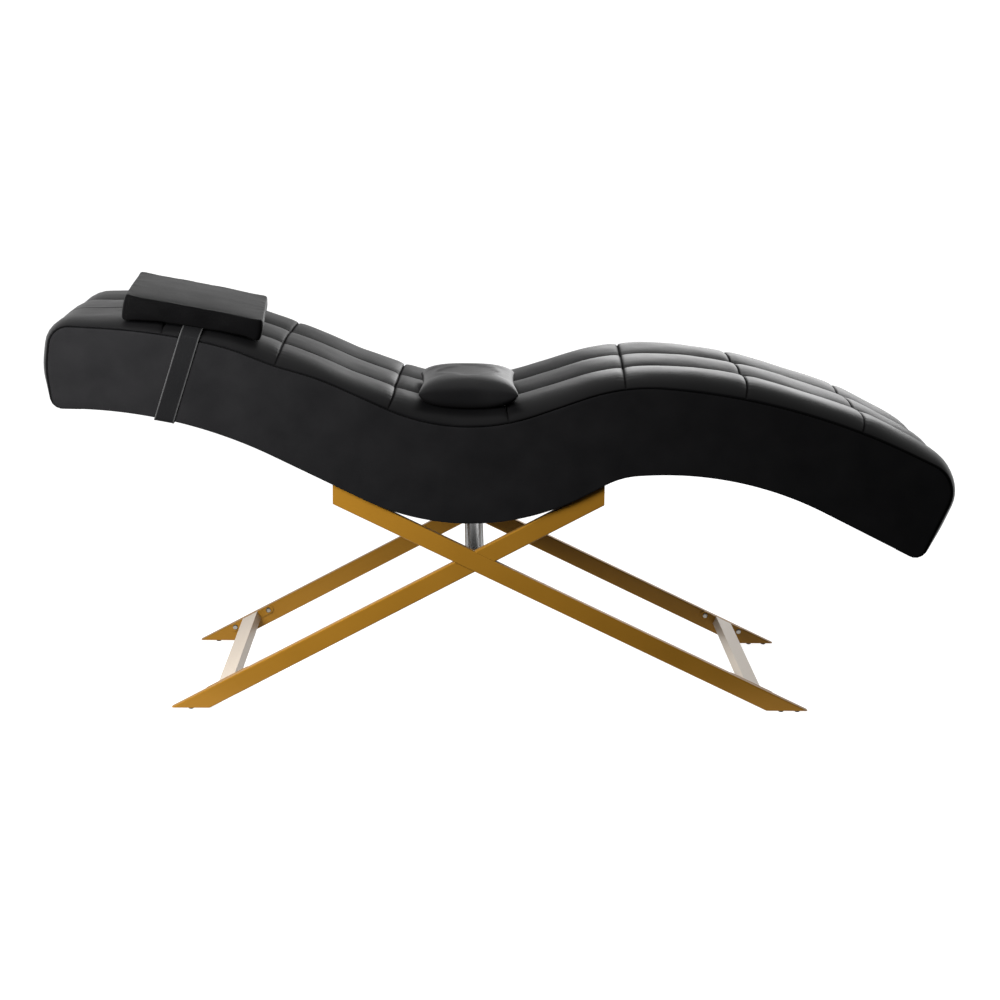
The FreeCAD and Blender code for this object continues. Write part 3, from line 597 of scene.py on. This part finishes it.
def quilt_section():
    """Half section from the middle outwards: y, height share, distance from the row seam, edge pull."""
    across = spaced([ROW_HALF], 0.0, 2 * ROW_HALF, 40.0, 9.0)
    from_seam = np.abs(across - ROW_HALF)
    height = ROW_GROOVE + (1 - ROW_GROOVE) * rounded_end(from_seam, ROW_HALF, ROW_FULLNESS)
    rows = [(y, h, d, 0.0) for y, h, d in zip(across, height, from_seam)]
    widest = math.sin(EDGE_TURN) ** EDGE_ROUND
    lowest = math.cos(EDGE_TURN)
    for angle in np.linspace(0, EDGE_TURN, 23)[1:]:
        out = math.sin(angle) ** EDGE_ROUND / widest
        height = (math.cos(angle) - lowest) / (1 - lowest)
        rows.append((2 * ROW_HALF + (HALF_WIDTH - 2 * ROW_HALF) * out, height, 1e3, out))
    return np.array(rows)


def quilt_heights():
    """Grid of the quilt's top: lengths with the cross seams straight, y, heights, and lengths as sewn."""
    lengths = spaced(cross_seams, 0.0, quilt_line.length, SEAM_ROUND, 10.0)
    half = quilt_section()
    section = np.vstack([half[::-1] * [-1, 1, 1, 1], half[1:]])
    across, rise, from_row, edge = section.T
    share = quilt_share(lengths)
    from_cross = np.abs(lengths[:, None] - cross_seams[None]).min(axis=1)
    puff = SEAM_GROOVE + (1 - SEAM_GROOVE) * rounded_end(from_cross, SEAM_ROUND, SEAM_FULLNESS)
    flat = 1 - smooth(*FLAT_STATIONS, lengths - TOP_ZERO)[:, None] * np.ones(len(across))
    flat[:, across > 0] = 0
    filled = np.where(np.abs(across) < 2 * ROW_HALF, 1.0, rise)
    filled = filled * (1 - FLAT_FALL * smooth(0, 2 * ROW_HALF, -across))
    height = CREST * (share * puff)[:, None] * (rise + flat * (filled - rise))
    notch = NOTCH_DEPTH * np.exp(-(from_cross[:, None] / NOTCH_WIDTH) ** 2)
    row_notch = NOTCH_DEPTH * np.exp(-(from_row[None] / NOTCH_WIDTH) ** 2) * (1 - FLAT_NOTCH * flat)
    cross_notch = notch * (1 - NOTCH_FADE * edge[None] ** 4)
    height = height - np.minimum(share[:, None], 1) * np.maximum(cross_notch, row_notch)
    s, y = np.meshgrid(lengths, across, indexing="ij")
    on_top = smooth(0.3, 0.7, share)[:, None]
    uneven = 0.5 * wander(s, y, 170.0, 3) + 0.2 * wander(s, y, 60.0, 8)
    pucker = 0.4 * np.sin(2 * math.pi * s / 17.0 + 2.2 * wander(s, y * 0, 90.0, 5))
    pucker = pucker * np.exp(-from_row[None] / 10.0) * (1 - np.exp(-from_row[None] / 2.0)) * (1 - flat)
    gather = 0.4 * np.sin(2 * math.pi * y / 19.0 + 2.0 * wander(y, s * 0, 80.0, 2))
    gather = gather * (np.exp(-from_cross / 11.0) * (1 - np.exp(-from_cross / 2.0)))[:, None]
    height = height + on_top * (1 - edge[None] ** 8) * (uneven + pucker + gather)
    height = height - seam_sag(lengths - TOP_ZERO)[:, None] * edge[None] ** 3
    y = y - 1.0 * np.exp(-(from_cross / 9.0) ** 2)[:, None] * edge[None] ** 4 * np.sign(across)[None]
    places = np.concatenate([[0.0], cross_seams, [quilt_line.length]])
    shifts = np.array([np.interp(across, SEAM_LINES, shift) for shift in SEAM_SHIFTS])
    shifts = np.vstack([0 * across, shifts, 0 * across])
    sewn = np.column_stack([lengths + np.interp(lengths, places, shift) for shift in shifts.T])
    return lengths, y, height, sewn


def make_quilt(lengths, y, height, sewn):
    """The padded top with its edges tucked into the side seam and a plain underside."""
    points, _, out = (part.reshape(*sewn.shape, 2) for part in quilt_line.at(sewn.ravel()))
    top = points + out * height[:, :, None]
    grid = [np.dstack([top[:, :, 0], y, top[:, :, 1]])]
    for column, side, tucks in ((-1, 1, EDGE_TUCKS), (0, -1, EDGE_TUCKS[::-1])):
        for inward, depth in tucks:
            spot = points[:, column] + out[:, column] * (depth - seam_sag(lengths - TOP_ZERO))[:, None]
            level = np.full(len(lengths), side * (HALF_WIDTH - inward))
            grid.append(np.column_stack([spot[:, 0], level, spot[:, 1]])[:, None])
    grid = np.concatenate(grid, axis=1)
    count = grid.shape[1]
    faces = grid_faces(len(lengths), count, around=True)
    total = len(lengths) * count
    faces.append(tuple(range(count))[::-1])
    faces.append(tuple(range(total - count, total)))
    return grid.reshape(-1, 3), faces


def seam_creases():
    """1 in the stitched lines and the tucked edges of the quilt, 0 elsewhere, point by point."""
    lengths = quilt_grid[0]
    half = quilt_section()
    from_row = np.concatenate([half[::-1, 2], half[1:, 2]])
    from_cross = np.abs(lengths[:, None] - cross_seams[None]).min(axis=1)
    crease = np.exp(-(np.minimum(from_cross[:, None], from_row[None]) / CREASE_WIDTH) ** 2)
    return np.hstack([crease, np.ones((len(lengths), 2 * len(EDGE_TUCKS)))])


quilt_grid = quilt_heights()
quilt = make_piece("quilted_top", *make_quilt(*quilt_grid), "chair", "black_leatherette", top_leather,
                   ["quilted_cover", "seat_foam"])
quilt.data.attributes.new("crease", "FLOAT", "POINT").data.foreach_set("value", seam_creases().ravel())


# Side panels

def ring_points(distance):
    """Outline moved inwards, a little more beside the quilt, sampled alike at every distance."""
    quilted = len(TOP_TURNS) + 2
    tucked = distance + PANEL_TUCK
    shifts = [tucked] * quilted + [distance] * (len(UNDER_TURNS) + 1) + [tucked] * 2
    line = Line(inset(OUTLINE, shifts), closed=True)
    base = Line(OUTLINE, closed=True)
    points = []
    for run, plan in zip(line.runs, base.runs):
        count = max(3, math.ceil(plan[3] / PANEL_STEP))
        points.append(line.spots(run[0], run[1], np.arange(count) / count)[0])
    points = np.vstack(points)
    seam, _, out = quilt_line.at(TOP_ZERO + SAG_STATIONS)
    gaps = np.linalg.norm(points[:, None] - seam[None], axis=2)
    closest = gaps.argmin(axis=1)
    held = np.clip(1 - gaps.min(axis=1) / SAG_FADE, 0, 1)
    return points - out[closest] * (seam_sag(SAG_STATIONS[closest]) * held)[:, None]


def panel_swell(x, z):
    """How far the padding of a side panel swells out or in."""
    return 0.45 * wander(x, z, 150.0, 4) + 0.2 * wander(x, z, 55.0, 6)


def make_side(side):
    """Padded flat panel: seam edge tucked in, softly rounded, faintly uneven."""
    rings = [ring_points(distance) for distance, depth in PANEL_PROFILE]
    count = len(rings[0])
    points = []
    for ring, (distance, depth) in zip(rings, PANEL_PROFILE):
        swell = panel_swell(ring[:, 0], ring[:, 1])
        level = HALF_WIDTH - depth + swell * smooth(2.0, 14.0, distance)
        points.append(np.column_stack([ring[:, 0], side * level, ring[:, 1]]))
    faces = grid_faces(len(rings), count, around=True, flip=side < 0)
    points = np.vstack(points)
    inner = rings[-1]
    spots = []
    box_low, box_high = inner.min(axis=0), inner.max(axis=0)
    for x in np.arange(box_low[0], box_high[0], PANEL_CELL):
        crossing = []
        for first, second in zip(inner, np.roll(inner, -1, axis=0)):
            if (first[0] - x) * (second[0] - x) < 0:
                crossing.append(first[1] + (second[1] - first[1]) * (x - first[0]) / (second[0] - first[0]))
        crossing.sort()
        for low, high in zip(crossing[0::2], crossing[1::2]):
            spots += [(x, z) for z in np.arange(low + PANEL_MARGIN, high - PANEL_MARGIN, PANEL_CELL)]
    flat = [Vector(point) for point in inner] + [Vector(spot) for spot in spots]
    rim = [(index, (index + 1) % count) for index in range(count)]
    made = delaunay_2d_cdt(flat, rim, [], 1, 1e-4)
    if len(made[0]) != len(flat):
        raise ValueError("the panel's points ran together")
    spots = np.array(spots)
    swell = panel_swell(spots[:, 0], spots[:, 1])
    fill = np.column_stack([spots[:, 0], side * (HALF_WIDTH + swell), spots[:, 1]])
    first = len(points) - count
    for face in made[2]:
        face = tuple(first + index for index in face)
        faces.append(face[::-1] if side > 0 else face)
    faces.append(tuple(range(count)) if side < 0 else tuple(range(count))[::-1])
    return np.vstack([points, fill]), faces


near_side = make_piece("near_side_panel", *make_side(-1), "chair", "black_leatherette", side_leather,
                       ["near_side_cover"])
far_side = make_piece("far_side_panel", *make_side(1), "chair", "black_leatherette", side_leather,
                      ["far_side_cover"])


# Cloth on the underside

def make_dust_cloth():
    """Thin stretched cloth between the side panels, from wrap to wrap; gives its length too."""
    ends = [wrap_start(FOOT_BOTTOM, SHIN_UNDER), wrap_start(HEAD_BOTTOM, head_under)]
    line = Line([ends[0], *UNDER_TURNS, ends[1]])
    lengths = np.linspace(-DUST_TUCK, line.length + DUST_TUCK, 150)
    points, along, out = line.at(lengths)
    points = points + along * (lengths - np.clip(lengths, 0, line.length))[:, None]
    across = np.linspace(-DUST_HALF_WIDTH, DUST_HALF_WIDTH, 25)
    s, y = np.meshgrid(lengths, across, indexing="ij")
    slack = DUST_SLACK * wander(s, y, 120.0, 7) * (1 - (y / DUST_HALF_WIDTH) ** 4)
    layers = []
    for depth in (-DUST_CLEAR, -DUST_CLEAR - DUST_CLOTH):
        level = depth + slack - DUST_SLACK
        layers.append(np.dstack([points[:, None, 0] + out[:, None, 0] * level, y,
                                 points[:, None, 1] + out[:, None, 1] * level]))
    loop = np.concatenate([layers[0], layers[1][:, ::-1]], axis=1)
    count = loop.shape[1]
    total = len(lengths) * count
    faces = grid_faces(len(lengths), count, around=True)
    half = count // 2
    for start in (0, total - count):
        for index in range(half - 1):
            upper = start + index
            lower = start + count - 1 - index
            faces.append((upper, upper + 1, lower - 1, lower))
    return loop.reshape(-1, 3), faces, line.length + 2 * DUST_TUCK


cloth_points, cloth_faces, cloth_length = make_dust_cloth()
dust_cloth = make_piece("underside_cloth", cloth_points, cloth_faces, "chair", "dust_cloth", dust_weave,
                        ["bottom_cover"])
cloth_length * MM


# Cushions

def plump(points, faces, seams, pressure, shrink, growth):
    """A short cloth run under inner pressure, each point's way eased to less than growth; seams shrink."""
    mesh = bpy.data.meshes.new("plumping")
    mesh.from_pydata([tuple(point) for point in points * MM], [], faces)
    cover = bpy.data.objects.new("plumping", mesh)
    bpy.context.collection.objects.link(cover)
    cover.vertex_groups.new(name="seams").add([int(index) for index in seams], 1.0, "REPLACE")
    cloth = cover.modifiers.new("cloth", "CLOTH")
    settings = cloth.settings
    settings.quality = 6
    settings.mass = 0.25
    settings.tension_stiffness = settings.compression_stiffness = 25
    settings.shear_stiffness = 12
    settings.bending_stiffness = 1.2
    settings.use_pressure = True
    settings.uniform_pressure_force = pressure
    settings.effector_weights.gravity = 0
    settings.vertex_group_shrink = "seams"
    settings.shrink_max = shrink
    cloth.point_cache.frame_start = 1
    cloth.point_cache.frame_end = PLUMP_FRAMES
    scene = bpy.context.scene
    for number in range(1, PLUMP_FRAMES + 1):
        scene.frame_set(number)
    settled = cover.evaluated_get(bpy.context.evaluated_depsgraph_get())
    moved = np.array([vertex.co[:] for vertex in settled.data.vertices]) / MM - points
    scene.frame_set(1)
    bpy.data.objects.remove(cover)
    bpy.data.meshes.remove(mesh)
    far = np.linalg.norm(moved, axis=1, keepdims=True)
    return points + moved * growth / (growth + far)


def box_cushion():
    """Boxed cushion on its floor (a, y, h): top, bottom and a band between; gives its seam points too."""
    half_a, half_y = CUSHION_LENGTH / 2, CUSHION_WIDTH / 2
    along = spaced([-half_a, half_a], -half_a, half_a, 14.0, 7.0)
    across = spaced([-half_y, half_y], -half_y, half_y, 14.0, 7.0)
    a, y = np.meshgrid(along, across, indexing="ij")
    # Square corners become rounded ones
    over_a = np.clip((np.abs(a) - half_a + CUSHION_CORNER) / CUSHION_CORNER, 0, 1)
    over_y = np.clip((np.abs(y) - half_y + CUSHION_CORNER) / CUSHION_CORNER, 0, 1)
    plan_a = a - np.sign(a) * CUSHION_CORNER * over_a * (1 - np.sqrt(1 - over_y ** 2 / 2))
    plan_y = y - np.sign(y) * CUSHION_CORNER * over_y * (1 - np.sqrt(1 - over_a ** 2 / 2))
    lean = CUSHION_HEAD + (CUSHION_NECK - CUSHION_HEAD) * (a + half_a) / CUSHION_LENGTH
    from_rim = np.minimum(half_a - np.abs(a), half_y - np.abs(y))
    bow = (1 - (a / half_a) ** 2) * (1 - (y / half_y) ** 2)
    top = lean - CUSHION_LIP + CUSHION_CROWN * bow ** 0.75 + CUSHION_LIP * rounded_end(from_rim, 7.0, 2.0)
    bottom = CUSHION_ROLL * (1 - rounded_end(from_rim, 18.0))
    rows, columns = a.shape
    number = np.arange(rows * columns).reshape(rows, columns)
    rim = np.concatenate([number[:-1, 0], number[-1, :-1], number[:0:-1, -1], number[0, :0:-1]])
    flat = np.column_stack([plan_a.ravel(), plan_y.ravel()])
    lid = np.column_stack([flat, top.ravel()])
    base = np.column_stack([flat, bottom.ravel()])
    outward = flat[rim] - flat[rim] * np.clip(1 - 30.0 / np.abs(flat[rim]), 0, 1)
    outward /= np.linalg.norm(outward, axis=1, keepdims=True)
    levels = np.linspace(0, 1, CUSHION_BAND_ROWS + 2)[1:-1]
    bands = []
    for level in levels:
        belly = CUSHION_BELLY * (1 - (2 * level - 1) ** 2) ** 0.8
        ring = lid[rim] * (1 - level) + base[rim] * level
        ring[:, :2] += outward * belly
        bands.append(ring)
    points = np.vstack([lid, *bands, base])
    faces = grid_faces(rows, columns)
    low = rows * columns + CUSHION_BAND_ROWS * len(rim)
    faces += grid_faces(rows, columns, low, flip=True)
    first = rows * columns + len(rim) * np.arange(CUSHION_BAND_ROWS)
    loops = [rim, *[start + np.arange(len(rim)) for start in first], rim + low]
    for upper, lower in zip(loops, loops[1:]):
        for index in range(len(rim)):
            on = (index + 1) % len(rim)
            faces.append((upper[index], upper[on], lower[on], lower[index]))
    seams = np.concatenate([rim, rim + low])
    return points, [tuple(int(index) for index in face) for face in faces], seams


def make_head_cushion():
    """The boxed cushion plumped, laid over the curve of the head and its rolled near edge."""
    points, faces, seams = box_cushion()
    points = plump(points, faces, seams, CUSHION_PRESSURE, CUSHION_SHRINK, CUSHION_GROWTH)
    a, y, h = points.T
    turned_a = a * math.cos(CUSHION_TURN) - y * math.sin(CUSHION_TURN)
    turned_y = y * math.cos(CUSHION_TURN) + a * math.sin(CUSHION_TURN) + CUSHION_SIDE
    over = np.clip((-turned_y - 2 * ROW_HALF) / (HALF_WIDTH - 2 * ROW_HALF), 0, 1)
    fall = CREST * (1 - np.sqrt(1 - over ** EDGE_POWER))
    low = 1 - np.clip(h / CUSHION_HEAD, 0, 1)
    droop = np.where(a < 0, *CUSHION_DROOP) * low * (2 * a / CUSHION_LENGTH) ** 2
    wave = 0.8 * wander(a, y, 60.0, 11) * low
    h = h + CUSHION_FLOOR - fall * (0.2 + 0.8 * low) - droop + wave
    spot, along, out = top_spot(CUSHION_STATION)
    place = spot + along * (turned_a[:, None] - CUSHION_BACK) + out * h[:, None]
    return np.column_stack([place[:, 0], turned_y, place[:, 1]]), faces


head_cushion = make_piece("head_cushion", *make_head_cushion(), "head_pillow", "black_leatherette",
                          cushion_leather, ["head_pillow_cover", "head_pillow_foam"])


def quilt_under(station, reach, lines):
    """Quilt over the tangent at a station: places along it, and a row of heights for each line across."""
    spot, along, out = top_spot(station)
    lengths, y, height, sewn = quilt_grid
    places = np.linspace(-reach, reach, 81)
    profiles = []
    for column in range(y.shape[1]):
        points, _, up = quilt_line.at(sewn[:, column])
        surface = points + up * height[:, [column]] - spot
        close = np.abs(sewn[:, column] - TOP_ZERO - station) < 2 * reach
        profiles.append(np.interp(places, (surface @ along)[close], (surface @ out)[close]))
    profiles = np.array(profiles)
    across = y[len(lengths) // 2]
    return places, np.column_stack([np.interp(lines, across, profile) for profile in profiles.T])


def make_lumbar_cushion():
    """Knife-edge cushion settled on the quilt: two plumped faces, one seam, corners pulled out to points."""
    sides = [np.sin(np.linspace(-math.pi / 2, math.pi / 2, count)) for count in (45, 61)]
    u, v = np.meshgrid(*sides, indexing="ij")
    a = LUMBAR_LENGTH / 2 * u * (1 - LUMBAR_DRAW * (1 - v * v) ** 2)
    y = LUMBAR_WIDTH / 2 * v * (1 - LUMBAR_DRAW * (1 - u * u) ** 2)
    levels = []
    for depth, bows in ((LUMBAR_TOP, LUMBAR_TOP_BOW), (-LUMBAR_UNDER, LUMBAR_UNDER_BOW)):
        swell = [(1 - np.abs(side) ** flat) ** (1 / full) for side, (flat, full) in zip((u, v), bows)]
        levels.append((depth * swell[0] * swell[1]).ravel())
    rows, columns = u.shape
    lid, base = (np.column_stack([a.ravel(), y.ravel(), level]) for level in levels)
    number = np.arange(rows * columns).reshape(rows, columns)
    rim = np.concatenate([number[:-1, 0], number[-1, :-1], number[:0:-1, -1], number[0, :0:-1]])
    keep = np.setdiff1d(number.ravel(), rim)
    shared = number.ravel().copy()
    shared[keep] = rows * columns + np.arange(len(keep))
    points = np.vstack([lid, base[keep]])
    faces = grid_faces(rows, columns)
    faces += [tuple(int(shared[index]) for index in face[::-1]) for face in grid_faces(rows, columns)]
    points = plump(points, faces, rim, LUMBAR_PRESSURE, LUMBAR_SHRINK, LUMBAR_GROWTH)
    lines = np.linspace(-LUMBAR_WIDTH / 2, LUMBAR_WIDTH / 2, 41)
    places, ground = quilt_under(LUMBAR_STATION, LUMBAR_LENGTH, lines + LUMBAR_SIDE)
    profiles = np.array([np.interp(points[:, 0], places, profile) for profile in ground])
    line = np.clip((points[:, 1] - lines[0]) / (lines[1] - lines[0]), 0, len(lines) - 1.001)
    first = line.astype(int)
    number = np.arange(len(points))
    below = profiles[first, number] * (1 - line + first) + profiles[first + 1, number] * (line - first)
    above = points[:, 2] - below
    above = above - above.min() - LUMBAR_SINK
    height = below + LUMBAR_CLEAR + (above + np.sqrt(above ** 2 + LUMBAR_GIVE ** 2)) / 2
    spot, along, out = top_spot(LUMBAR_STATION)
    place = spot + along * points[:, :1] + out * height[:, None]
    return np.column_stack([place[:, 0], points[:, 1] + LUMBAR_SIDE, place[:, 1]]), faces


lumbar_cushion = make_piece("lumbar_cushion", *make_lumbar_cushion(), "lumbar_pillow", "black_leatherette",
                            lumbar_leather, ["lumbar_cover", "lumbar_filling"])


# Strap round the body

def make_strap():
    """Hemmed band: under the cushion, over the rolled edges, down both sides and across below; gives the
    painted highlights along its hems too.
    """
    spot, along, out = top_spot(CUSHION_STATION)
    start = (top_spot(STRAP_STATION)[0] - spot) @ along
    slide = math.atan2(-along[1], along[0])
    shear = math.tan(STRAP_TILT - slide)
    wide = HALF_WIDTH + STRAP_CLEAR
    path = [(y, CREST + STRAP_CLEAR) for y in np.linspace(-150, -185, 6)]
    for angle in np.linspace(0.1, math.pi / 2, 20):
        over = 2 * ROW_HALF + (wide - 2 * ROW_HALF) * math.sin(angle) ** EDGE_ROUND
        path.append((-over, (CREST + STRAP_CLEAR) * math.cos(angle)))
    path += [(-wide, height) for height in np.linspace(-8, STRAP_LOW + 8, 24)]
    for angle in np.linspace(0, math.pi / 2, 6):
        inward = STRAP_CORNER * (1 - math.cos(angle))
        path.append((-wide + inward, STRAP_LOW + STRAP_CORNER - STRAP_CORNER * math.sin(angle)))
    path += [(y, STRAP_LOW) for y in np.linspace(-wide + 20, -10, 12)]
    path = np.array(path + [(-y, height) for y, height in path[::-1]])
    step = np.gradient(path, axis=0)
    step /= np.linalg.norm(step, axis=1, keepdims=True)
    normal = np.column_stack([step[:, 1], -step[:, 0]])
    share = np.array([*[-place for place in STRAP_SHARES[::-1]], 0.0, *STRAP_SHARES])
    rolled = 0.45 * np.exp(-((np.abs(share) - 0.93) / 0.06) ** 2)
    hem = STRAP * (1 + rolled - 0.6 * (np.abs(share) > 0.99))
    layers = []
    for height in (hem, 0 * hem):
        y = path[:, None, 0] + normal[:, None, 0] * height[None]
        h = path[:, None, 1] + normal[:, None, 1] * height[None]
        a = start + h * shear + share[None] * STRAP_WIDTH / 2 / math.cos(STRAP_TILT - slide)
        x = spot[0] + along[0] * a + out[0] * h
        z = spot[1] + along[1] * a + out[1] * h
        layers.append(np.dstack([x, y, z]))
    loop = np.concatenate([layers[0], layers[1][:, ::-1]], axis=1)
    count = loop.shape[1]
    total = len(path) * count
    faces = grid_faces(len(path), count, around=True)
    for first in (0, total - count):
        faces.append(tuple(range(first, first + count)))
    # Painted highlight along each hem, strongest at the very edge.
    hem_highlight = np.interp(np.abs(share), [0.84, 0.93, 0.985], [0, 0.7, 1])
    return loop.reshape(-1, 3), faces, np.tile(np.concatenate([hem_highlight, hem_highlight]), len(path))


strap_points, strap_faces, strap_hem_highlights = make_strap()
strap = make_piece("cushion_strap", strap_points, strap_faces, "head_pillow", "black_strap",
                   strap_leather, ["head_strap"])
# The hem attribute carries the painted hem highlights.
strap.data.attributes.new("hem", "FLOAT", "POINT").data.foreach_set("value", strap_hem_highlights)


# Floor, light and camera, in metres

FLOOR_GLOW = 0.95
FLOOR_REACH = (-7.0, 7.0, -0.42, 9.0)
FRONT_LIGHT = 0.02
TOP_LIGHT = 0.45
BACK_LIGHT = 1.0
CAMERA_SPOT = (-0.0892, -4.6488, 1.3517)
CAMERA_TURNS = (11.658, 1.088, 0.636)   # pitch, yaw and roll in degrees
CAMERA_LENS = 78.818
CAMERA_SENSOR = 36.0


def stage_floor():
    """Pale lit floor, as of a light table, from just before the feet to well behind the chair."""
    finish = Finish("pale_floor")
    cloud = finish.noise(1.2, 2.0)
    finish.set({
        "Base Color": finish.tint(cloud, (0.30, 0.30, 0.30), (0.34, 0.34, 0.34)),
        "Roughness": 0.7,
        "Emission Color": (1.0, 1.0, 1.0, 1.0),
        "Emission Strength": FLOOR_GLOW,
    })
    mesh = bpy.data.meshes.new("studio_floor")
    left, right, front, back = FLOOR_REACH
    corners = [(left, front, 0), (right, front, 0), (right, back, 0), (left, back, 0)]
    mesh.from_pydata(corners, [], [(0, 1, 2, 3)])
    mesh.materials.append(finish.material)
    floor = bpy.data.objects.new("studio_floor", mesh)
    bpy.context.collection.objects.link(floor)
    floor.visible_diffuse = False


def lamp(name, spot, aim, size, power, mirrored=True):
    """Soft rectangular light that faces a point, mirrored in glossy things or not."""
    data = bpy.data.lights.new(name, "AREA")
    data.shape = "RECTANGLE"
    data.size, data.size_y = size
    data.energy = power
    light = bpy.data.objects.new(name, data)
    light.location = spot
    light.visible_camera = False
    light.visible_glossy = mirrored
    light.rotation_mode = "QUATERNION"
    light.rotation_quaternion = (Vector(aim) - Vector(spot)).to_track_quat("-Z", "Y")
    bpy.context.collection.objects.link(light)


def studio_world():
    """White backdrop all round; it lights from behind the chair, softly from above, hardly from before."""
    world = bpy.data.worlds.new("studio")
    world.use_nodes = True
    tree = world.node_tree
    shade = next(node for node in tree.nodes if node.type == "BACKGROUND")
    split = tree.nodes.new("ShaderNodeSeparateXYZ")
    tree.links.new(tree.nodes.new("ShaderNodeTexCoord").outputs["Generated"], split.inputs[0])
    depth, up = (Value(tree, split.outputs[name]) for name in ("Y", "Z"))
    behind = ((depth - 0.1) / 0.4).limited(0, 1) * ((0.5 - up) / 0.35).limited(0, 1)
    overhead = ((up - 0.2) / 0.4).limited(0, 1) * ((depth + 0.9) / 0.6).limited(0, 1)
    seen = Value(tree, tree.nodes.new("ShaderNodeLightPath").outputs["Is Camera Ray"])
    light = FRONT_LIGHT + TOP_LIGHT * overhead + BACK_LIGHT * behind + seen
    shade.inputs["Color"].default_value = (1, 1, 1, 1)
    tree.links.new(light.socket, shade.inputs["Strength"])
    bpy.context.scene.world = world


def photo_camera():
    """Camera of the photograph: its place, pitch, yaw and roll."""
    pitch, yaw, roll = (math.radians(angle) for angle in CAMERA_TURNS)
    ahead = Vector((math.sin(yaw) * math.cos(pitch), math.cos(yaw) * math.cos(pitch), -math.sin(pitch)))
    level = ahead.cross(Vector((0, 0, 1))).normalized()
    upright = level.cross(ahead)
    right = level * math.cos(roll) + upright * math.sin(roll)
    up = upright * math.cos(roll) - level * math.sin(roll)
    data = bpy.data.cameras.new("photo_camera")
    data.sensor_width = CAMERA_SENSOR
    data.lens = CAMERA_LENS
    camera = bpy.data.objects.new("photo_camera", data)
    turn = Matrix((right, up, -ahead)).transposed().to_4x4()
    camera.matrix_world = Matrix.Translation(CAMERA_SPOT) @ turn
    bpy.context.collection.objects.link(camera)
    bpy.context.scene.camera = camera


stage_floor()
studio_world()
lamp("head_side_softbox", (-1.05, -1.1, 1.05), (-0.2, -0.1, 0.45), (0.8, 0.8), 66.0, False)
lamp("foot_side_softbox", (0.95, 2.4, 1.2), (0.6, 0.0, 0.7), (1.6, 1.1), 14.0)
photo_camera()
bpy.context.scene.view_settings.view_transform = "Standard"
